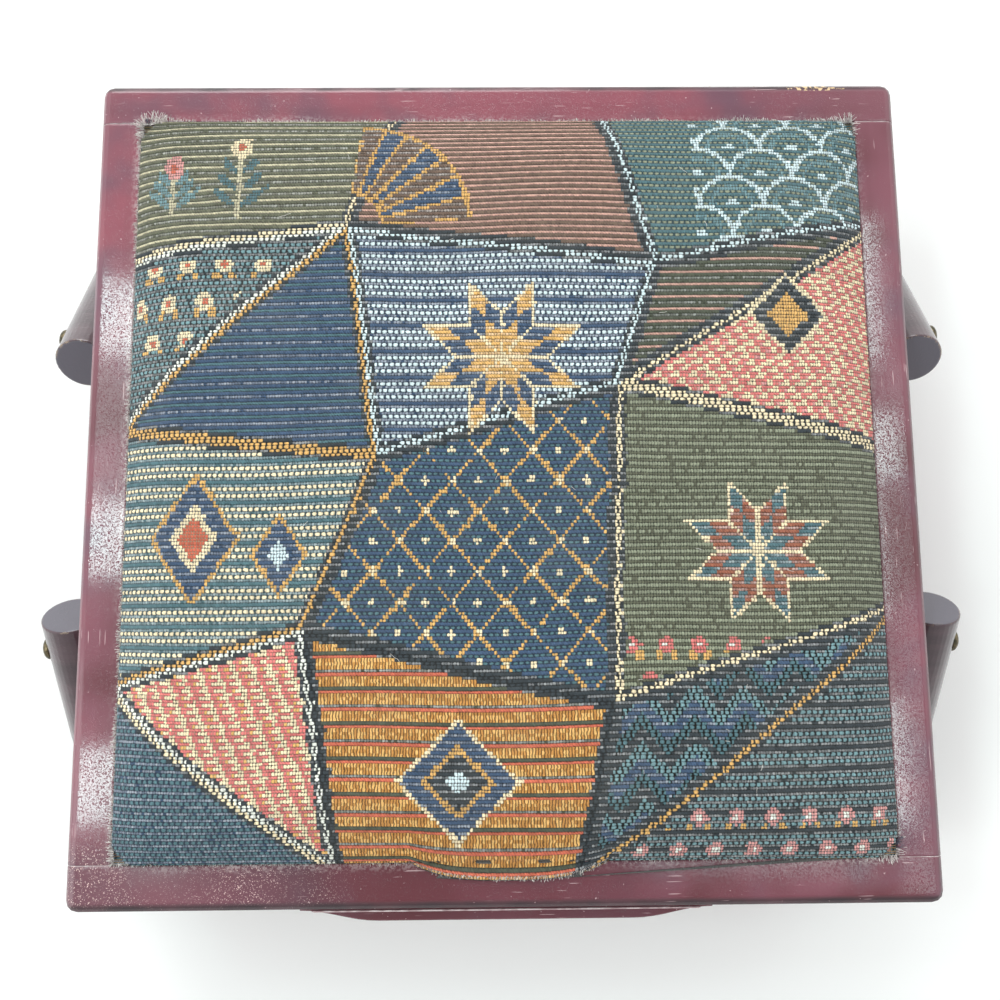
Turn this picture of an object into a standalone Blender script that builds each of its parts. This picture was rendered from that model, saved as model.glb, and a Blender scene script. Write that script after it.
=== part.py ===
# Sewing box with a padded tapestry lid, a sliding tray and four splayed dowel legs.
# Lengths are in metres. X runs to the right, Y to the back and Z up. The origin lies on
# the floor under the middle of the box. The thumb lip on the lid is at the front.

import math

import bmesh
import bpy
from mathutils import Matrix, Vector

# Clearances and fineness of the meshes
GAP = 0.0003
OVERRUN = 0.002
MERGE = 0.00005
ROUND_SEGMENTS = 3
DOWEL_SIDES = 36
TURN_STEPS = 20
HOLE_SIDES = 16
SCREW_STEPS = 12

# Box walls
BOX_WIDTH = 0.300
BOX_DEPTH = 0.300
BOX_LIFT = 0.012
WALL_THICK = 0.009
WALL_HEIGHT = 0.0797
CORNER_ROUND = 0.0025
WALL_ROUND = 0.0012

# Bottom panel in its grooves, and the felt on it
PANEL_THICK = 0.004
PANEL_RISE = 0.006
GROOVE_DEPTH = 0.004
FELT_THICK = 0.0015
FELT_MARGIN = 0.0008

# Lid frame, its rebate and the thumb lip on its front
LID_THICK = 0.012
RAIL_WIDTH = 0.028
BORDER_WIDTH = 0.0155
REBATE_DEPTH = 0.006
LID_ROUND = 0.0032
LID_CORNER_ROUND = 0.0042
LID_UNDER_ROUND = 0.0012
LIP_LENGTH = 0.142
LIP_STRAIGHT = 0.088
LIP_REACH = 0.0043
LIP_TIP = 0.0007
LIP_THICK = 0.0060
LIP_RISE = 0.0006
LIP_ROUND = 0.0006
LIP_CURVE_POINTS = 8

# Padded panel: board, foam, tapestry cover and the lining under the board
BOARD_THICK = 0.004
LINING_THICK = 0.0035
COVER_THICK = 0.0010
COVER_SKIRT = 0.0020
EDGE_RISE = 0.0095
EDGE_RUN = 0.0110
CROWN_RISE = 0.0160
FOAM_CLEARANCE = 0.0006
PAD_CELLS = 10
CROWN_FULLNESS_SHARE = 0.75

# Dowel legs
LEG_RADIUS = 0.011
LEG_TILT = math.radians(51.8)
LEG_SETBACK = 0.1016
LEG_TOP_DROP = 0.0125
LEG_ARRIS = 0.0008

# Bolts through the legs, with nuts in pockets on the inner face of the walls
BOLT_RADIUS = 0.0025
BOLT_HEAD_RADIUS = 0.0046
BOLT_HEAD_DOME = 0.0026
BOLT_RIM = 0.0007
SPOT_FACE_DEPTH = 0.0011
UPPER_BOLT_FROM_END = 0.0150
LOWER_BOLT_RISE = 0.0085
NUT_ACROSS_FLATS = 0.008
NUT_THICK = 0.0038
NUT_POCKET_RADIUS = 0.0056
DOME_POINTS = 4

# Hinges on the back, with round-headed screws
HINGE_INSET = 0.060
HINGE_WIDTH = 0.030
KNUCKLE_COUNT = 5
LEAF_THICK = 0.0010
KNUCKLE_RADIUS = 0.0023
KNUCKLE_SHARE = 0.75
HINGE_PIN_RADIUS = 0.0010
PIN_HEAD_RADIUS = 0.0017
PIN_HEAD_THICK = 0.0007
BOX_LEAF_HEIGHT = 0.0160
LID_LEAF_HEIGHT = 0.0042
HINGE_SCREW_SPACING = 0.0170
SCREW_RADIUS = 0.0011
SCREW_LENGTH = 0.0065
SCREW_TIP = 0.0020
SCREW_HEAD_RADIUS = 0.0018
SCREW_HEAD_DOME = 0.0009
SLOT_WIDTH = 0.0006
SLOT_DEPTH = 0.0007

# Tray and the runners it slides on
RUNNER_WIDTH = 0.008
RUNNER_THICK = 0.008
TRAY_DEPTH = 0.130
TRAY_HEIGHT = 0.030
TRAY_BASE_THICK = 0.003
TRAY_WALL_THICK = 0.005
TRAY_SIDE_CLEARANCE = 0.001
TRAY_TOP_CLEARANCE = 0.0035
SIDE_COMPARTMENT = 0.080
DIVIDER_THICK = 0.004
DIVIDER_DROP = 0.004
TRAY_ROUND = 0.0010

# Heights that follow from the sizes above
WALL_BOTTOM_Z = BOX_LIFT
WALL_TOP_Z = WALL_BOTTOM_Z + WALL_HEIGHT
PANEL_BOTTOM_Z = WALL_BOTTOM_Z + PANEL_RISE + GAP
PANEL_TOP_Z = PANEL_BOTTOM_Z + PANEL_THICK
FELT_TOP_Z = PANEL_TOP_Z + GAP + FELT_THICK
LID_BOTTOM_Z = WALL_TOP_Z + GAP
LID_TOP_Z = LID_BOTTOM_Z + LID_THICK
REBATE_Z = LID_TOP_Z - REBATE_DEPTH
BOARD_TOP_Z = REBATE_Z + GAP + BOARD_THICK
COVER_RIM_Z = BOARD_TOP_Z + GAP
TRAY_TOP_Z = WALL_TOP_Z - TRAY_TOP_CLEARANCE
TRAY_BOTTOM_Z = TRAY_TOP_Z - TRAY_HEIGHT
TRAY_FLOOR_Z = TRAY_BOTTOM_Z + TRAY_BASE_THICK
RUNNER_TOP_Z = TRAY_BOTTOM_Z - GAP

# Half widths and places that follow from the sizes above
HALF_WIDTH = BOX_WIDTH / 2
HALF_DEPTH = BOX_DEPTH / 2
INNER_HALF_WIDTH = HALF_WIDTH - WALL_THICK
INNER_HALF_DEPTH = HALF_DEPTH - WALL_THICK
WINDOW_HALF_WIDTH = HALF_WIDTH - RAIL_WIDTH
WINDOW_HALF_DEPTH = HALF_DEPTH - RAIL_WIDTH
REBATE_HALF_WIDTH = HALF_WIDTH - BORDER_WIDTH
REBATE_HALF_DEPTH = HALF_DEPTH - BORDER_WIDTH
HINGE_Y = HALF_DEPTH + GAP + LEAF_THICK * (1 - KNUCKLE_SHARE) + KNUCKLE_RADIUS
HINGE_Z = WALL_TOP_Z + GAP / 2
LEG_X = HALF_WIDTH + GAP + LEG_RADIUS
LEG_TOP_Y = HALF_DEPTH - LEG_SETBACK
LEG_TOP_Z = WALL_TOP_Z - LEG_TOP_DROP
UPPER_BOLT_Y = LEG_TOP_Y + UPPER_BOLT_FROM_END * math.sin(LEG_TILT)
UPPER_BOLT_Z = LEG_TOP_Z - UPPER_BOLT_FROM_END * math.cos(LEG_TILT)
LOWER_BOLT_Z = FELT_TOP_Z + LOWER_BOLT_RISE
LOWER_BOLT_Y = LEG_TOP_Y + (LEG_TOP_Z - LOWER_BOLT_Z) * math.tan(LEG_TILT)
BOLT_SEAT_X = LEG_X + LEG_RADIUS - SPOT_FACE_DEPTH
TRAY_HALF_WIDTH = INNER_HALF_WIDTH - TRAY_SIDE_CLEARANCE
TRAY_FRONT_Y = -INNER_HALF_DEPTH + GAP
TRAY_BACK_Y = TRAY_FRONT_Y + TRAY_DEPTH

# Faces of a block along X, Y and Z
LOW_FACES = ("left", "front", "bottom")
HIGH_FACES = ("right", "back", "top")


# Scene and collections
for old in list(bpy.data.objects):
    bpy.data.objects.remove(old)
PARTS = bpy.data.collections.new("sewing_box")
CUTTERS = bpy.data.collections.new("cutters")
for collection in (PARTS, CUTTERS):
    bpy.context.scene.collection.children.link(collection)


def left_and_right():
    """The two sides, each with the sign of its X."""
    return (("left", -1), ("right", 1))


def front_and_back():
    """The two ends, each with the sign of its Y."""
    return (("front", -1), ("back", 1))


def make_holder(name, location):
    """An empty that carries the pieces of one moving group."""
    holder = bpy.data.objects.new(name, None)
    holder.empty_display_size = RAIL_WIDTH
    holder.location = location
    PARTS.objects.link(holder)
    return holder


HOLDERS = {
    "box": make_holder("box_frame", (0, 0, 0)),
    "lid": make_holder("lid_hinge_axis", (0, HINGE_Y, HINGE_Z)),
    "tray": make_holder("tray_slide_axis", (0, TRAY_FRONT_Y, TRAY_BOTTOM_Z)),
}


def make_material(name, colour, roughness, metallic=0.0):
    """A plain finish: base colour, roughness and metallic value."""
    finish = bpy.data.materials.new(name)
    finish.use_nodes = True
    shader = finish.node_tree.nodes["Principled BSDF"]
    shader.inputs["Base Color"].default_value = (*colour, 1.0)
    shader.inputs["Roughness"].default_value = roughness
    shader.inputs["Metallic"].default_value = metallic
    finish.diffuse_color = (*colour, 1.0)
    return finish


MAHOGANY = (0.105, 0.013, 0.018)
DARK_LACQUER = (0.040, 0.013, 0.018)
PLYWOOD = (0.50, 0.33, 0.19)
PALE_WOOD = (0.46, 0.27, 0.14)
WINE_FELT = (0.16, 0.02, 0.03)
LINING_CLOTH = (0.42, 0.33, 0.22)
FOAM_CREAM = (0.75, 0.68, 0.45)
TAPESTRY = (0.06, 0.10, 0.11)
BRONZE = (0.16, 0.10, 0.05)
BRASS = (0.55, 0.37, 0.13)
STEEL = (0.55, 0.55, 0.56)


def put(obj, group, colour, roughness, metallic=0.0):
    """Gives a piece its own material and hangs it on the holder of its group."""
    obj.data.materials.append(make_material(obj.name, colour, roughness, metallic))
    PARTS.objects.link(obj)
    obj.parent = HOLDERS[group]
    obj.matrix_parent_inverse = Matrix.Translation(HOLDERS[group].location).inverted()
    return obj


def as_object(name, bm, smooth=False):
    """Turns a bmesh in world places into an object whose origin is the middle of its box."""
    corners = [Vector(min(v.co[i] for v in bm.verts) for i in range(3)),
               Vector(max(v.co[i] for v in bm.verts) for i in range(3))]
    middle = (corners[0] + corners[1]) / 2
    bmesh.ops.translate(bm, verts=bm.verts, vec=-middle)
    mesh = bpy.data.meshes.new(name)
    bm.to_mesh(mesh)
    bm.free()
    if smooth:
        mesh.shade_smooth()
        mesh.set_sharp_from_angle(angle=math.radians(35))
    obj = bpy.data.objects.new(name, mesh)
    obj.location = middle
    return obj


def as_cutter(name, bm):
    """A shape that only cuts or joins other pieces."""
    obj = as_object(name, bm)
    obj.hide_render = True
    obj.display_type = "WIRE"
    CUTTERS.objects.link(obj)
    return obj


def combine(obj, other, operation="DIFFERENCE"):
    """Cuts a piece by another shape, or joins the shape to it."""
    boolean = obj.modifiers.new(other.name, "BOOLEAN")
    boolean.operation = operation
    boolean.object = other


def lies_on(edge, face, low, high):
    """Whether an edge lies on the named face of the box between two corners."""
    corner, names = (low, LOW_FACES) if face in LOW_FACES else (high, HIGH_FACES)
    axis = names.index(face)
    return all(abs(vertex.co[axis] - corner[axis]) < MERGE for vertex in edge.verts)


def round_edges(bm, edges, radius):
    """Rounds some edges of a mesh."""
    bmesh.ops.bevel(bm, geom=edges, offset=radius, offset_type="OFFSET",
                    segments=ROUND_SEGMENTS, profile=0.5, affect="EDGES")


def block(low, high, rounded=(), radius=0.0):
    """A box between two corners. The edges between the named pairs of faces are rounded."""
    bm = bmesh.new()
    bmesh.ops.create_cube(bm, size=1)
    for vertex in bm.verts:
        vertex.co = [low[i] if vertex.co[i] < 0 else high[i] for i in range(3)]
    edges = [edge for edge in bm.edges
             if any(all(lies_on(edge, face, low, high) for face in pair) for pair in rounded)]
    if edges:
        round_edges(bm, edges, radius)
    return bm


def ease(bm, level, low, high, square, radius):
    """Rounds the edges of a block's top or bottom face, apart from those on its square faces."""
    edges = [edge for edge in bm.edges if lies_on(edge, level, low, high)
             and not any(lies_on(edge, face, low, high) for face in square)]
    round_edges(bm, edges, radius)


def add_rod(bm, start, end, radius, sides):
    """A closed cylinder between two points."""
    start, end = Vector(start), Vector(end)
    turn = (end - start).to_track_quat("Z", "Y").to_matrix().to_4x4()
    bmesh.ops.create_cone(bm, cap_ends=True, segments=sides, radius1=radius, radius2=radius,
                          depth=(end - start).length,
                          matrix=Matrix.Translation((start + end) / 2) @ turn)


def turned(name, profile, steps, location, axis):
    """A turned piece. The profile lists radius and height, from the top down its outer side."""
    mesh = bpy.data.meshes.new(name)
    mesh.from_pydata([(r, 0, z) for r, z in profile],
                     [(i, i + 1) for i in range(len(profile) - 1)], [])
    obj = bpy.data.objects.new(name, mesh)
    screw = obj.modifiers.new("turn", "SCREW")
    screw.steps = steps
    screw.render_steps = steps
    screw.use_merge_vertices = True
    screw.merge_threshold = MERGE
    obj.location = location
    obj.rotation_euler = Vector(axis).to_track_quat("Z", "Y").to_euler()
    return obj


def dome(radius, rise, points, base=0.0):
    """Points of a dome's profile, from its crown to its rim."""
    angles = [math.pi / 2 * i / points for i in range(points + 1)]
    return [(radius * math.sin(a), base + rise * math.cos(a)) for a in angles]


# Box walls, bottom and linings

def make_groove_cutters():
    """Grooves for the edges of the bottom panel, one pair along each direction."""
    low_z = WALL_BOTTOM_Z + PANEL_RISE
    high_z = PANEL_TOP_Z + GAP
    wide = INNER_HALF_WIDTH + GROOVE_DEPTH
    deep = INNER_HALF_DEPTH + GROOVE_DEPTH
    return as_cutter("bottom_groove", block((-wide, -deep, low_z), (wide, deep, high_z)))


def make_walls(groove):
    """Front and back walls run full width, and the side walls stand between them."""
    for end, y_sign in front_and_back():
        y_faces = sorted((y_sign * INNER_HALF_DEPTH, y_sign * HALF_DEPTH))
        rounded = [("left", end), ("right", end)]
        bm = block((-HALF_WIDTH, y_faces[0], WALL_BOTTOM_Z), (HALF_WIDTH, y_faces[1], WALL_TOP_Z),
                   rounded, CORNER_ROUND)
        wall = put(as_object(end + "_wall", bm, True), "box", MAHOGANY, 0.3)
        combine(wall, groove)
    for side, x_sign in left_and_right():
        x_faces = sorted((x_sign * INNER_HALF_WIDTH, x_sign * HALF_WIDTH))
        y_end = INNER_HALF_DEPTH - GAP
        bm = block((x_faces[0], -y_end, WALL_BOTTOM_Z), (x_faces[1], y_end, WALL_TOP_Z),
                   [(side, "bottom")], WALL_ROUND)
        wall = put(as_object(side + "_wall", bm, True), "box", MAHOGANY, 0.3)
        combine(wall, groove)


def make_bottom():
    """Plywood panel held in the grooves, with felt glued on it."""
    half_x = INNER_HALF_WIDTH + GROOVE_DEPTH - GAP
    half_y = INNER_HALF_DEPTH + GROOVE_DEPTH - GAP
    bm = block((-half_x, -half_y, PANEL_BOTTOM_Z), (half_x, half_y, PANEL_TOP_Z))
    put(as_object("bottom_panel", bm), "box", PLYWOOD, 0.6)
    half_x = INNER_HALF_WIDTH - FELT_MARGIN
    half_y = INNER_HALF_DEPTH - FELT_MARGIN
    bm = block((-half_x, -half_y, PANEL_TOP_Z + GAP), (half_x, half_y, FELT_TOP_Z))
    put(as_object("bottom_lining", bm), "box", WINE_FELT, 0.95)


# Legs with their bolts and nuts

def bolt_places(y_sign):
    """Upper and lower bolt of a leg, as Y and Z."""
    return (("upper", y_sign * UPPER_BOLT_Y, UPPER_BOLT_Z), ("lower", y_sign * LOWER_BOLT_Y, LOWER_BOLT_Z))


def make_bolt_cutters(side, x_sign):
    """Bolt holes, spot faces for the heads and pockets for the nuts, all along X."""
    shapes = (
        ("bolt_holes", INNER_HALF_WIDTH - OVERRUN, LEG_X + LEG_RADIUS + OVERRUN, BOLT_RADIUS + GAP),
        ("spot_faces", BOLT_SEAT_X, LEG_X + LEG_RADIUS + OVERRUN, BOLT_HEAD_RADIUS + GAP),
        ("nut_pockets", INNER_HALF_WIDTH - OVERRUN, INNER_HALF_WIDTH + NUT_THICK + GAP + GAP,
         NUT_POCKET_RADIUS),
    )
    cutters = {}
    for name, near, far, radius in shapes:
        bm = bmesh.new()
        for _, y_sign in front_and_back():
            for _, y, z in bolt_places(y_sign):
                add_rod(bm, (x_sign * near, y, z), (x_sign * far, y, z), radius, HOLE_SIDES)
        cutters[name] = as_cutter(side + "_" + name, bm)
    return cutters


def make_leg(name, x_sign, y_sign, cutters, floor):
    """A dowel that leans outwards and stands on an end cut level with the floor."""
    top = Vector((x_sign * LEG_X, y_sign * LEG_TOP_Y, LEG_TOP_Z))
    along = Vector((0, y_sign * math.sin(LEG_TILT), -math.cos(LEG_TILT)))
    length = (LEG_TOP_Z + LEG_RADIUS) / math.cos(LEG_TILT) + LEG_RADIUS
    bm = bmesh.new()
    add_rod(bm, top + along * length, top, LEG_RADIUS, DOWEL_SIDES)
    arris = [edge for edge in bm.edges
             if all(abs((v.co - top).dot(along)) < MERGE for v in edge.verts)]
    round_edges(bm, arris, LEG_ARRIS)
    leg = put(as_object(name, bm, True), "box", DARK_LACQUER, 0.3)
    for cutter in (floor, cutters["bolt_holes"], cutters["spot_faces"]):
        combine(leg, cutter)


def make_bolt(name, x_sign, y, z):
    """A domed bolt that clamps a leg to its wall."""
    shank_end = INNER_HALF_WIDTH + GAP - BOLT_SEAT_X
    profile = dome(BOLT_HEAD_RADIUS, BOLT_HEAD_DOME, DOME_POINTS, GAP + BOLT_RIM)
    profile += [(BOLT_HEAD_RADIUS, GAP), (BOLT_RADIUS, GAP), (BOLT_RADIUS, shank_end), (0, shank_end)]
    bolt = turned(name, profile, TURN_STEPS, (x_sign * BOLT_SEAT_X, y, z), (x_sign, 0, 0))
    put(bolt, "box", BRONZE, 0.35, 1.0)


def make_nut(name, x_sign, y, z, holes):
    """A hexagon nut sunk into the inner face of the wall."""
    near = INNER_HALF_WIDTH + GAP
    bm = bmesh.new()
    add_rod(bm, (x_sign * near, y, z), (x_sign * (near + NUT_THICK), y, z),
            NUT_ACROSS_FLATS / math.sqrt(3), 6)
    nut = put(as_object(name, bm), "box", STEEL, 0.35, 1.0)
    combine(nut, holes)


def make_legs():
    """Four legs with two bolts and two nuts each."""
    reach = HALF_DEPTH + LEG_SETBACK + LEG_TOP_Z * math.tan(LEG_TILT)
    wide = LEG_X + LEG_RADIUS + OVERRUN
    deep = LEG_RADIUS / math.sin(LEG_TILT) + LEG_TOP_Z
    floor = as_cutter("floor_cut", block((-wide, -reach, -deep), (wide, reach, 0)))
    for side, x_sign in left_and_right():
        cutters = make_bolt_cutters(side, x_sign)
        wall = bpy.data.objects[side + "_wall"]
        combine(wall, cutters["bolt_holes"])
        combine(wall, cutters["nut_pockets"])
        for end, y_sign in front_and_back():
            corner = end + "_" + side
            make_leg("leg_" + corner, x_sign, y_sign, cutters, floor)
            for level, y, z in bolt_places(y_sign):
                make_bolt("leg_bolt_" + corner + "_" + level, x_sign, y, z)
                make_nut("leg_nut_" + corner + "_" + level, x_sign, y, z, cutters["bolt_holes"])


# Lid frame, lip and padded panel

def make_lid_frame():
    """Front and back rails run full width. The stiles butt against them at the rebate's ends."""
    rebate = as_cutter("lid_rebate", block(
        (-REBATE_HALF_WIDTH, -REBATE_HALF_DEPTH, REBATE_Z),
        (REBATE_HALF_WIDTH, REBATE_HALF_DEPTH, LID_TOP_Z + OVERRUN)))
    notches = []
    for side, x_sign in left_and_right():
        x_faces = sorted((x_sign * (WINDOW_HALF_WIDTH - GAP), x_sign * (HALF_WIDTH + OVERRUN)))
        notches.append(as_cutter("lid_" + side + "_notch", block(
            (x_faces[0], -REBATE_HALF_DEPTH, LID_BOTTOM_Z - OVERRUN),
            (x_faces[1], REBATE_HALF_DEPTH, LID_TOP_Z + OVERRUN))))
    for (end, y_sign), inner in zip(front_and_back(), ("back", "front")):
        y_faces = sorted((y_sign * WINDOW_HALF_DEPTH, y_sign * HALF_DEPTH))
        low = (-HALF_WIDTH, y_faces[0], LID_BOTTOM_Z)
        high = (HALF_WIDTH, y_faces[1], LID_TOP_Z)
        bm = block(low, high, [("left", end), ("right", end)], LID_CORNER_ROUND)
        ease(bm, "top", low, high, [inner], LID_ROUND)
        ease(bm, "bottom", low, high, [inner], LID_UNDER_ROUND)
        rail = put(as_object("lid_" + end + "_rail", bm, True), "lid", MAHOGANY, 0.25)
        for cutter in (rebate, *notches):
            combine(rail, cutter)
    for (side, x_sign), inner in zip(left_and_right(), ("right", "left")):
        x_faces = sorted((x_sign * WINDOW_HALF_WIDTH, x_sign * HALF_WIDTH))
        y_end = REBATE_HALF_DEPTH - GAP
        low = (x_faces[0], -y_end, LID_BOTTOM_Z)
        high = (x_faces[1], y_end, LID_TOP_Z)
        bm = block(low, high, [(side, "top")], LID_ROUND)
        ease(bm, "bottom", low, high, [inner, "front", "back"], LID_UNDER_ROUND)
        stile = put(as_object("lid_" + side + "_stile", bm, True), "lid", MAHOGANY, 0.25)
        combine(stile, rebate)


def make_lip():
    """A bow-shaped strip on the front of the lid, to lift it by."""
    half = LIP_LENGTH / 2
    flat = LIP_STRAIGHT / 2
    back_y = -HALF_DEPTH - GAP
    outline = [(-half, back_y), (half, back_y)]
    for i in range(LIP_CURVE_POINTS + 1):
        share = i / LIP_CURVE_POINTS
        reach = LIP_TIP + (LIP_REACH - LIP_TIP) * (1 - math.cos(math.pi * share)) / 2
        outline.append((half - (half - flat) * share, back_y - reach))
    outline += [(-x, y) for x, y in reversed(outline[2:])]
    low_z = LID_BOTTOM_Z + LIP_RISE
    bm = bmesh.new()
    face = bm.faces.new([bm.verts.new((x, y, low_z)) for x, y in outline])
    top = bmesh.ops.extrude_face_region(bm, geom=[face])["geom"]
    bmesh.ops.translate(bm, verts=[v for v in top if isinstance(v, bmesh.types.BMVert)],
                        vec=(0, 0, LIP_THICK))
    bmesh.ops.recalc_face_normals(bm, faces=bm.faces)
    front = [edge for edge in bm.edges
             if abs(edge.verts[0].co.z - edge.verts[1].co.z) < MERGE
             and all(v.co.y < back_y - LIP_TIP + MERGE for v in edge.verts)]
    round_edges(bm, front, LIP_ROUND)
    put(as_object("thumb_lip", bm, True), "lid", MAHOGANY, 0.3)


def pad_surface(inset, rim_z):
    """The crowned top of the pad as an open cage, with a straight skirt down to its rim."""
    bm = bmesh.new()
    bmesh.ops.create_grid(bm, x_segments=PAD_CELLS, y_segments=PAD_CELLS, size=1)
    half_x = REBATE_HALF_WIDTH - GAP - inset
    half_y = REBATE_HALF_DEPTH - GAP - inset
    foot_z = COVER_RIM_Z + COVER_SKIRT - inset
    edge_z = LID_TOP_Z + EDGE_RISE - inset
    crown = CROWN_RISE - EDGE_RISE
    for vertex in bm.verts:
        u = math.sin(math.pi / 2 * vertex.co.x)
        v = math.sin(math.pi / 2 * vertex.co.y)
        from_edge = min(half_x * (1 - abs(u)), half_y * (1 - abs(v)), EDGE_RUN)
        round_share = math.sqrt(1 - (1 - from_edge / EDGE_RUN) ** 2)
        crown_share = max(0.0, (1 - u * u) * (1 - v * v)) ** CROWN_FULLNESS_SHARE
        vertex.co = (half_x * u, half_y * v, foot_z + (edge_z - foot_z) * round_share + crown * crown_share)
    rim = [edge for edge in bm.edges if edge.is_boundary]
    skirt = bmesh.ops.extrude_edge_only(bm, edges=rim)["geom"]
    for vertex in (item for item in skirt if isinstance(item, bmesh.types.BMVert)):
        vertex.co.z = rim_z
    bmesh.ops.recalc_face_normals(bm, faces=bm.faces)
    return bm


def soften(obj):
    """Rounds a coarse cage once."""
    subdivision = obj.modifiers.new("soften", "SUBSURF")
    subdivision.levels = 1
    subdivision.render_levels = 1
    subdivision.boundary_smooth = "PRESERVE_CORNERS"


def make_pad():
    """Board on the rebate, foam on the board, tapestry over the foam and a lining below."""
    half_x = REBATE_HALF_WIDTH - GAP
    half_y = REBATE_HALF_DEPTH - GAP
    bm = block((-half_x, -half_y, REBATE_Z + GAP), (half_x, half_y, BOARD_TOP_Z))
    put(as_object("lid_board", bm), "lid", PLYWOOD, 0.6)
    half_x = WINDOW_HALF_WIDTH - GAP
    half_y = WINDOW_HALF_DEPTH - GAP
    bm = block((-half_x, -half_y, REBATE_Z - LINING_THICK), (half_x, half_y, REBATE_Z))
    put(as_object("lid_lining", bm), "lid", LINING_CLOTH, 0.9)
    cover = put(as_object("tapestry_cover", pad_surface(0.0, COVER_RIM_Z), True), "lid", TAPESTRY, 0.9)
    soften(cover)
    wall = cover.modifiers.new("cloth", "SOLIDIFY")
    wall.thickness = COVER_THICK
    wall.offset = -1
    bm = pad_surface(COVER_THICK + FOAM_CLEARANCE, COVER_RIM_Z)
    rim = [edge for edge in bm.edges if edge.is_boundary]
    bmesh.ops.contextual_create(bm, geom=rim)
    bmesh.ops.recalc_face_normals(bm, faces=bm.faces)
    soften(put(as_object("lid_foam", bm, True), "lid", FOAM_CREAM, 0.9))


# Hinges

def knuckle_spans(centre_x):
    """Start and end of each knuckle along the pin, with a gap between neighbours."""
    pitch = HINGE_WIDTH / KNUCKLE_COUNT
    left = centre_x - HINGE_WIDTH / 2
    return [(left + i * pitch + GAP / 2, left + (i + 1) * pitch - GAP / 2) for i in range(KNUCKLE_COUNT)]


def make_leaf(name, group, spans, ends, direction, height, pin_hole, screw_holes):
    """A leaf with tabs that run up to its knuckles. The direction is up or down from the pin."""
    near_y = HALF_DEPTH + GAP
    root_z = HINGE_Z + direction * (KNUCKLE_RADIUS + GAP)
    far_z = root_z + direction * height
    outline = [(ends[0], far_z), (ends[0], root_z)]
    for start, end in spans:
        outline += [(start, root_z), (start, HINGE_Z), (end, HINGE_Z), (end, root_z)]
    outline += [(ends[1], root_z), (ends[1], far_z)]
    bm = bmesh.new()
    verts = [bm.verts.new((x, near_y, z)) for x, z in outline]
    face = bm.faces.new(verts)
    thick = bmesh.ops.extrude_face_region(bm, geom=[face])["geom"]
    bmesh.ops.translate(bm, verts=[v for v in thick if isinstance(v, bmesh.types.BMVert)],
                        vec=(0, LEAF_THICK, 0))
    bmesh.ops.remove_doubles(bm, verts=bm.verts, dist=MERGE)
    bmesh.ops.recalc_face_normals(bm, faces=bm.faces)
    leaf = put(as_object(name, bm), group, BRASS, 0.35, 1.0)
    bm = bmesh.new()
    for start, end in spans:
        add_rod(bm, (start, HINGE_Y, HINGE_Z), (end, HINGE_Y, HINGE_Z), KNUCKLE_RADIUS, HOLE_SIDES)
    combine(leaf, as_cutter(name + "_knuckles", bm), "UNION")
    combine(leaf, pin_hole)
    combine(leaf, screw_holes)


def make_pin(name, centre_x):
    """A hinge pin with a head riveted on each end."""
    half = HINGE_WIDTH / 2 + GAP
    tip = half + PIN_HEAD_THICK
    profile = [(0, tip), (PIN_HEAD_RADIUS, tip), (PIN_HEAD_RADIUS, half), (HINGE_PIN_RADIUS, half),
               (HINGE_PIN_RADIUS, -half), (PIN_HEAD_RADIUS, -half), (PIN_HEAD_RADIUS, -tip), (0, -tip)]
    put(turned(name, profile, TURN_STEPS, (centre_x, HINGE_Y, HINGE_Z), (1, 0, 0)), "box", BRASS, 0.35, 1.0)


def make_screw(name, group, x, z, slots):
    """A round-headed wood screw with a slot, driven forwards into the wood."""
    tail = -(LEAF_THICK + SCREW_LENGTH)
    profile = dome(SCREW_HEAD_RADIUS, SCREW_HEAD_DOME, DOME_POINTS, GAP)
    profile += [(SCREW_RADIUS, GAP), (SCREW_RADIUS, tail + SCREW_TIP), (0, tail)]
    seat_y = HALF_DEPTH + GAP + LEAF_THICK
    screw = put(turned(name, profile, SCREW_STEPS, (x, seat_y, z), (0, 1, 0)), group, BRASS, 0.3, 1.0)
    combine(screw, slots)


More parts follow.
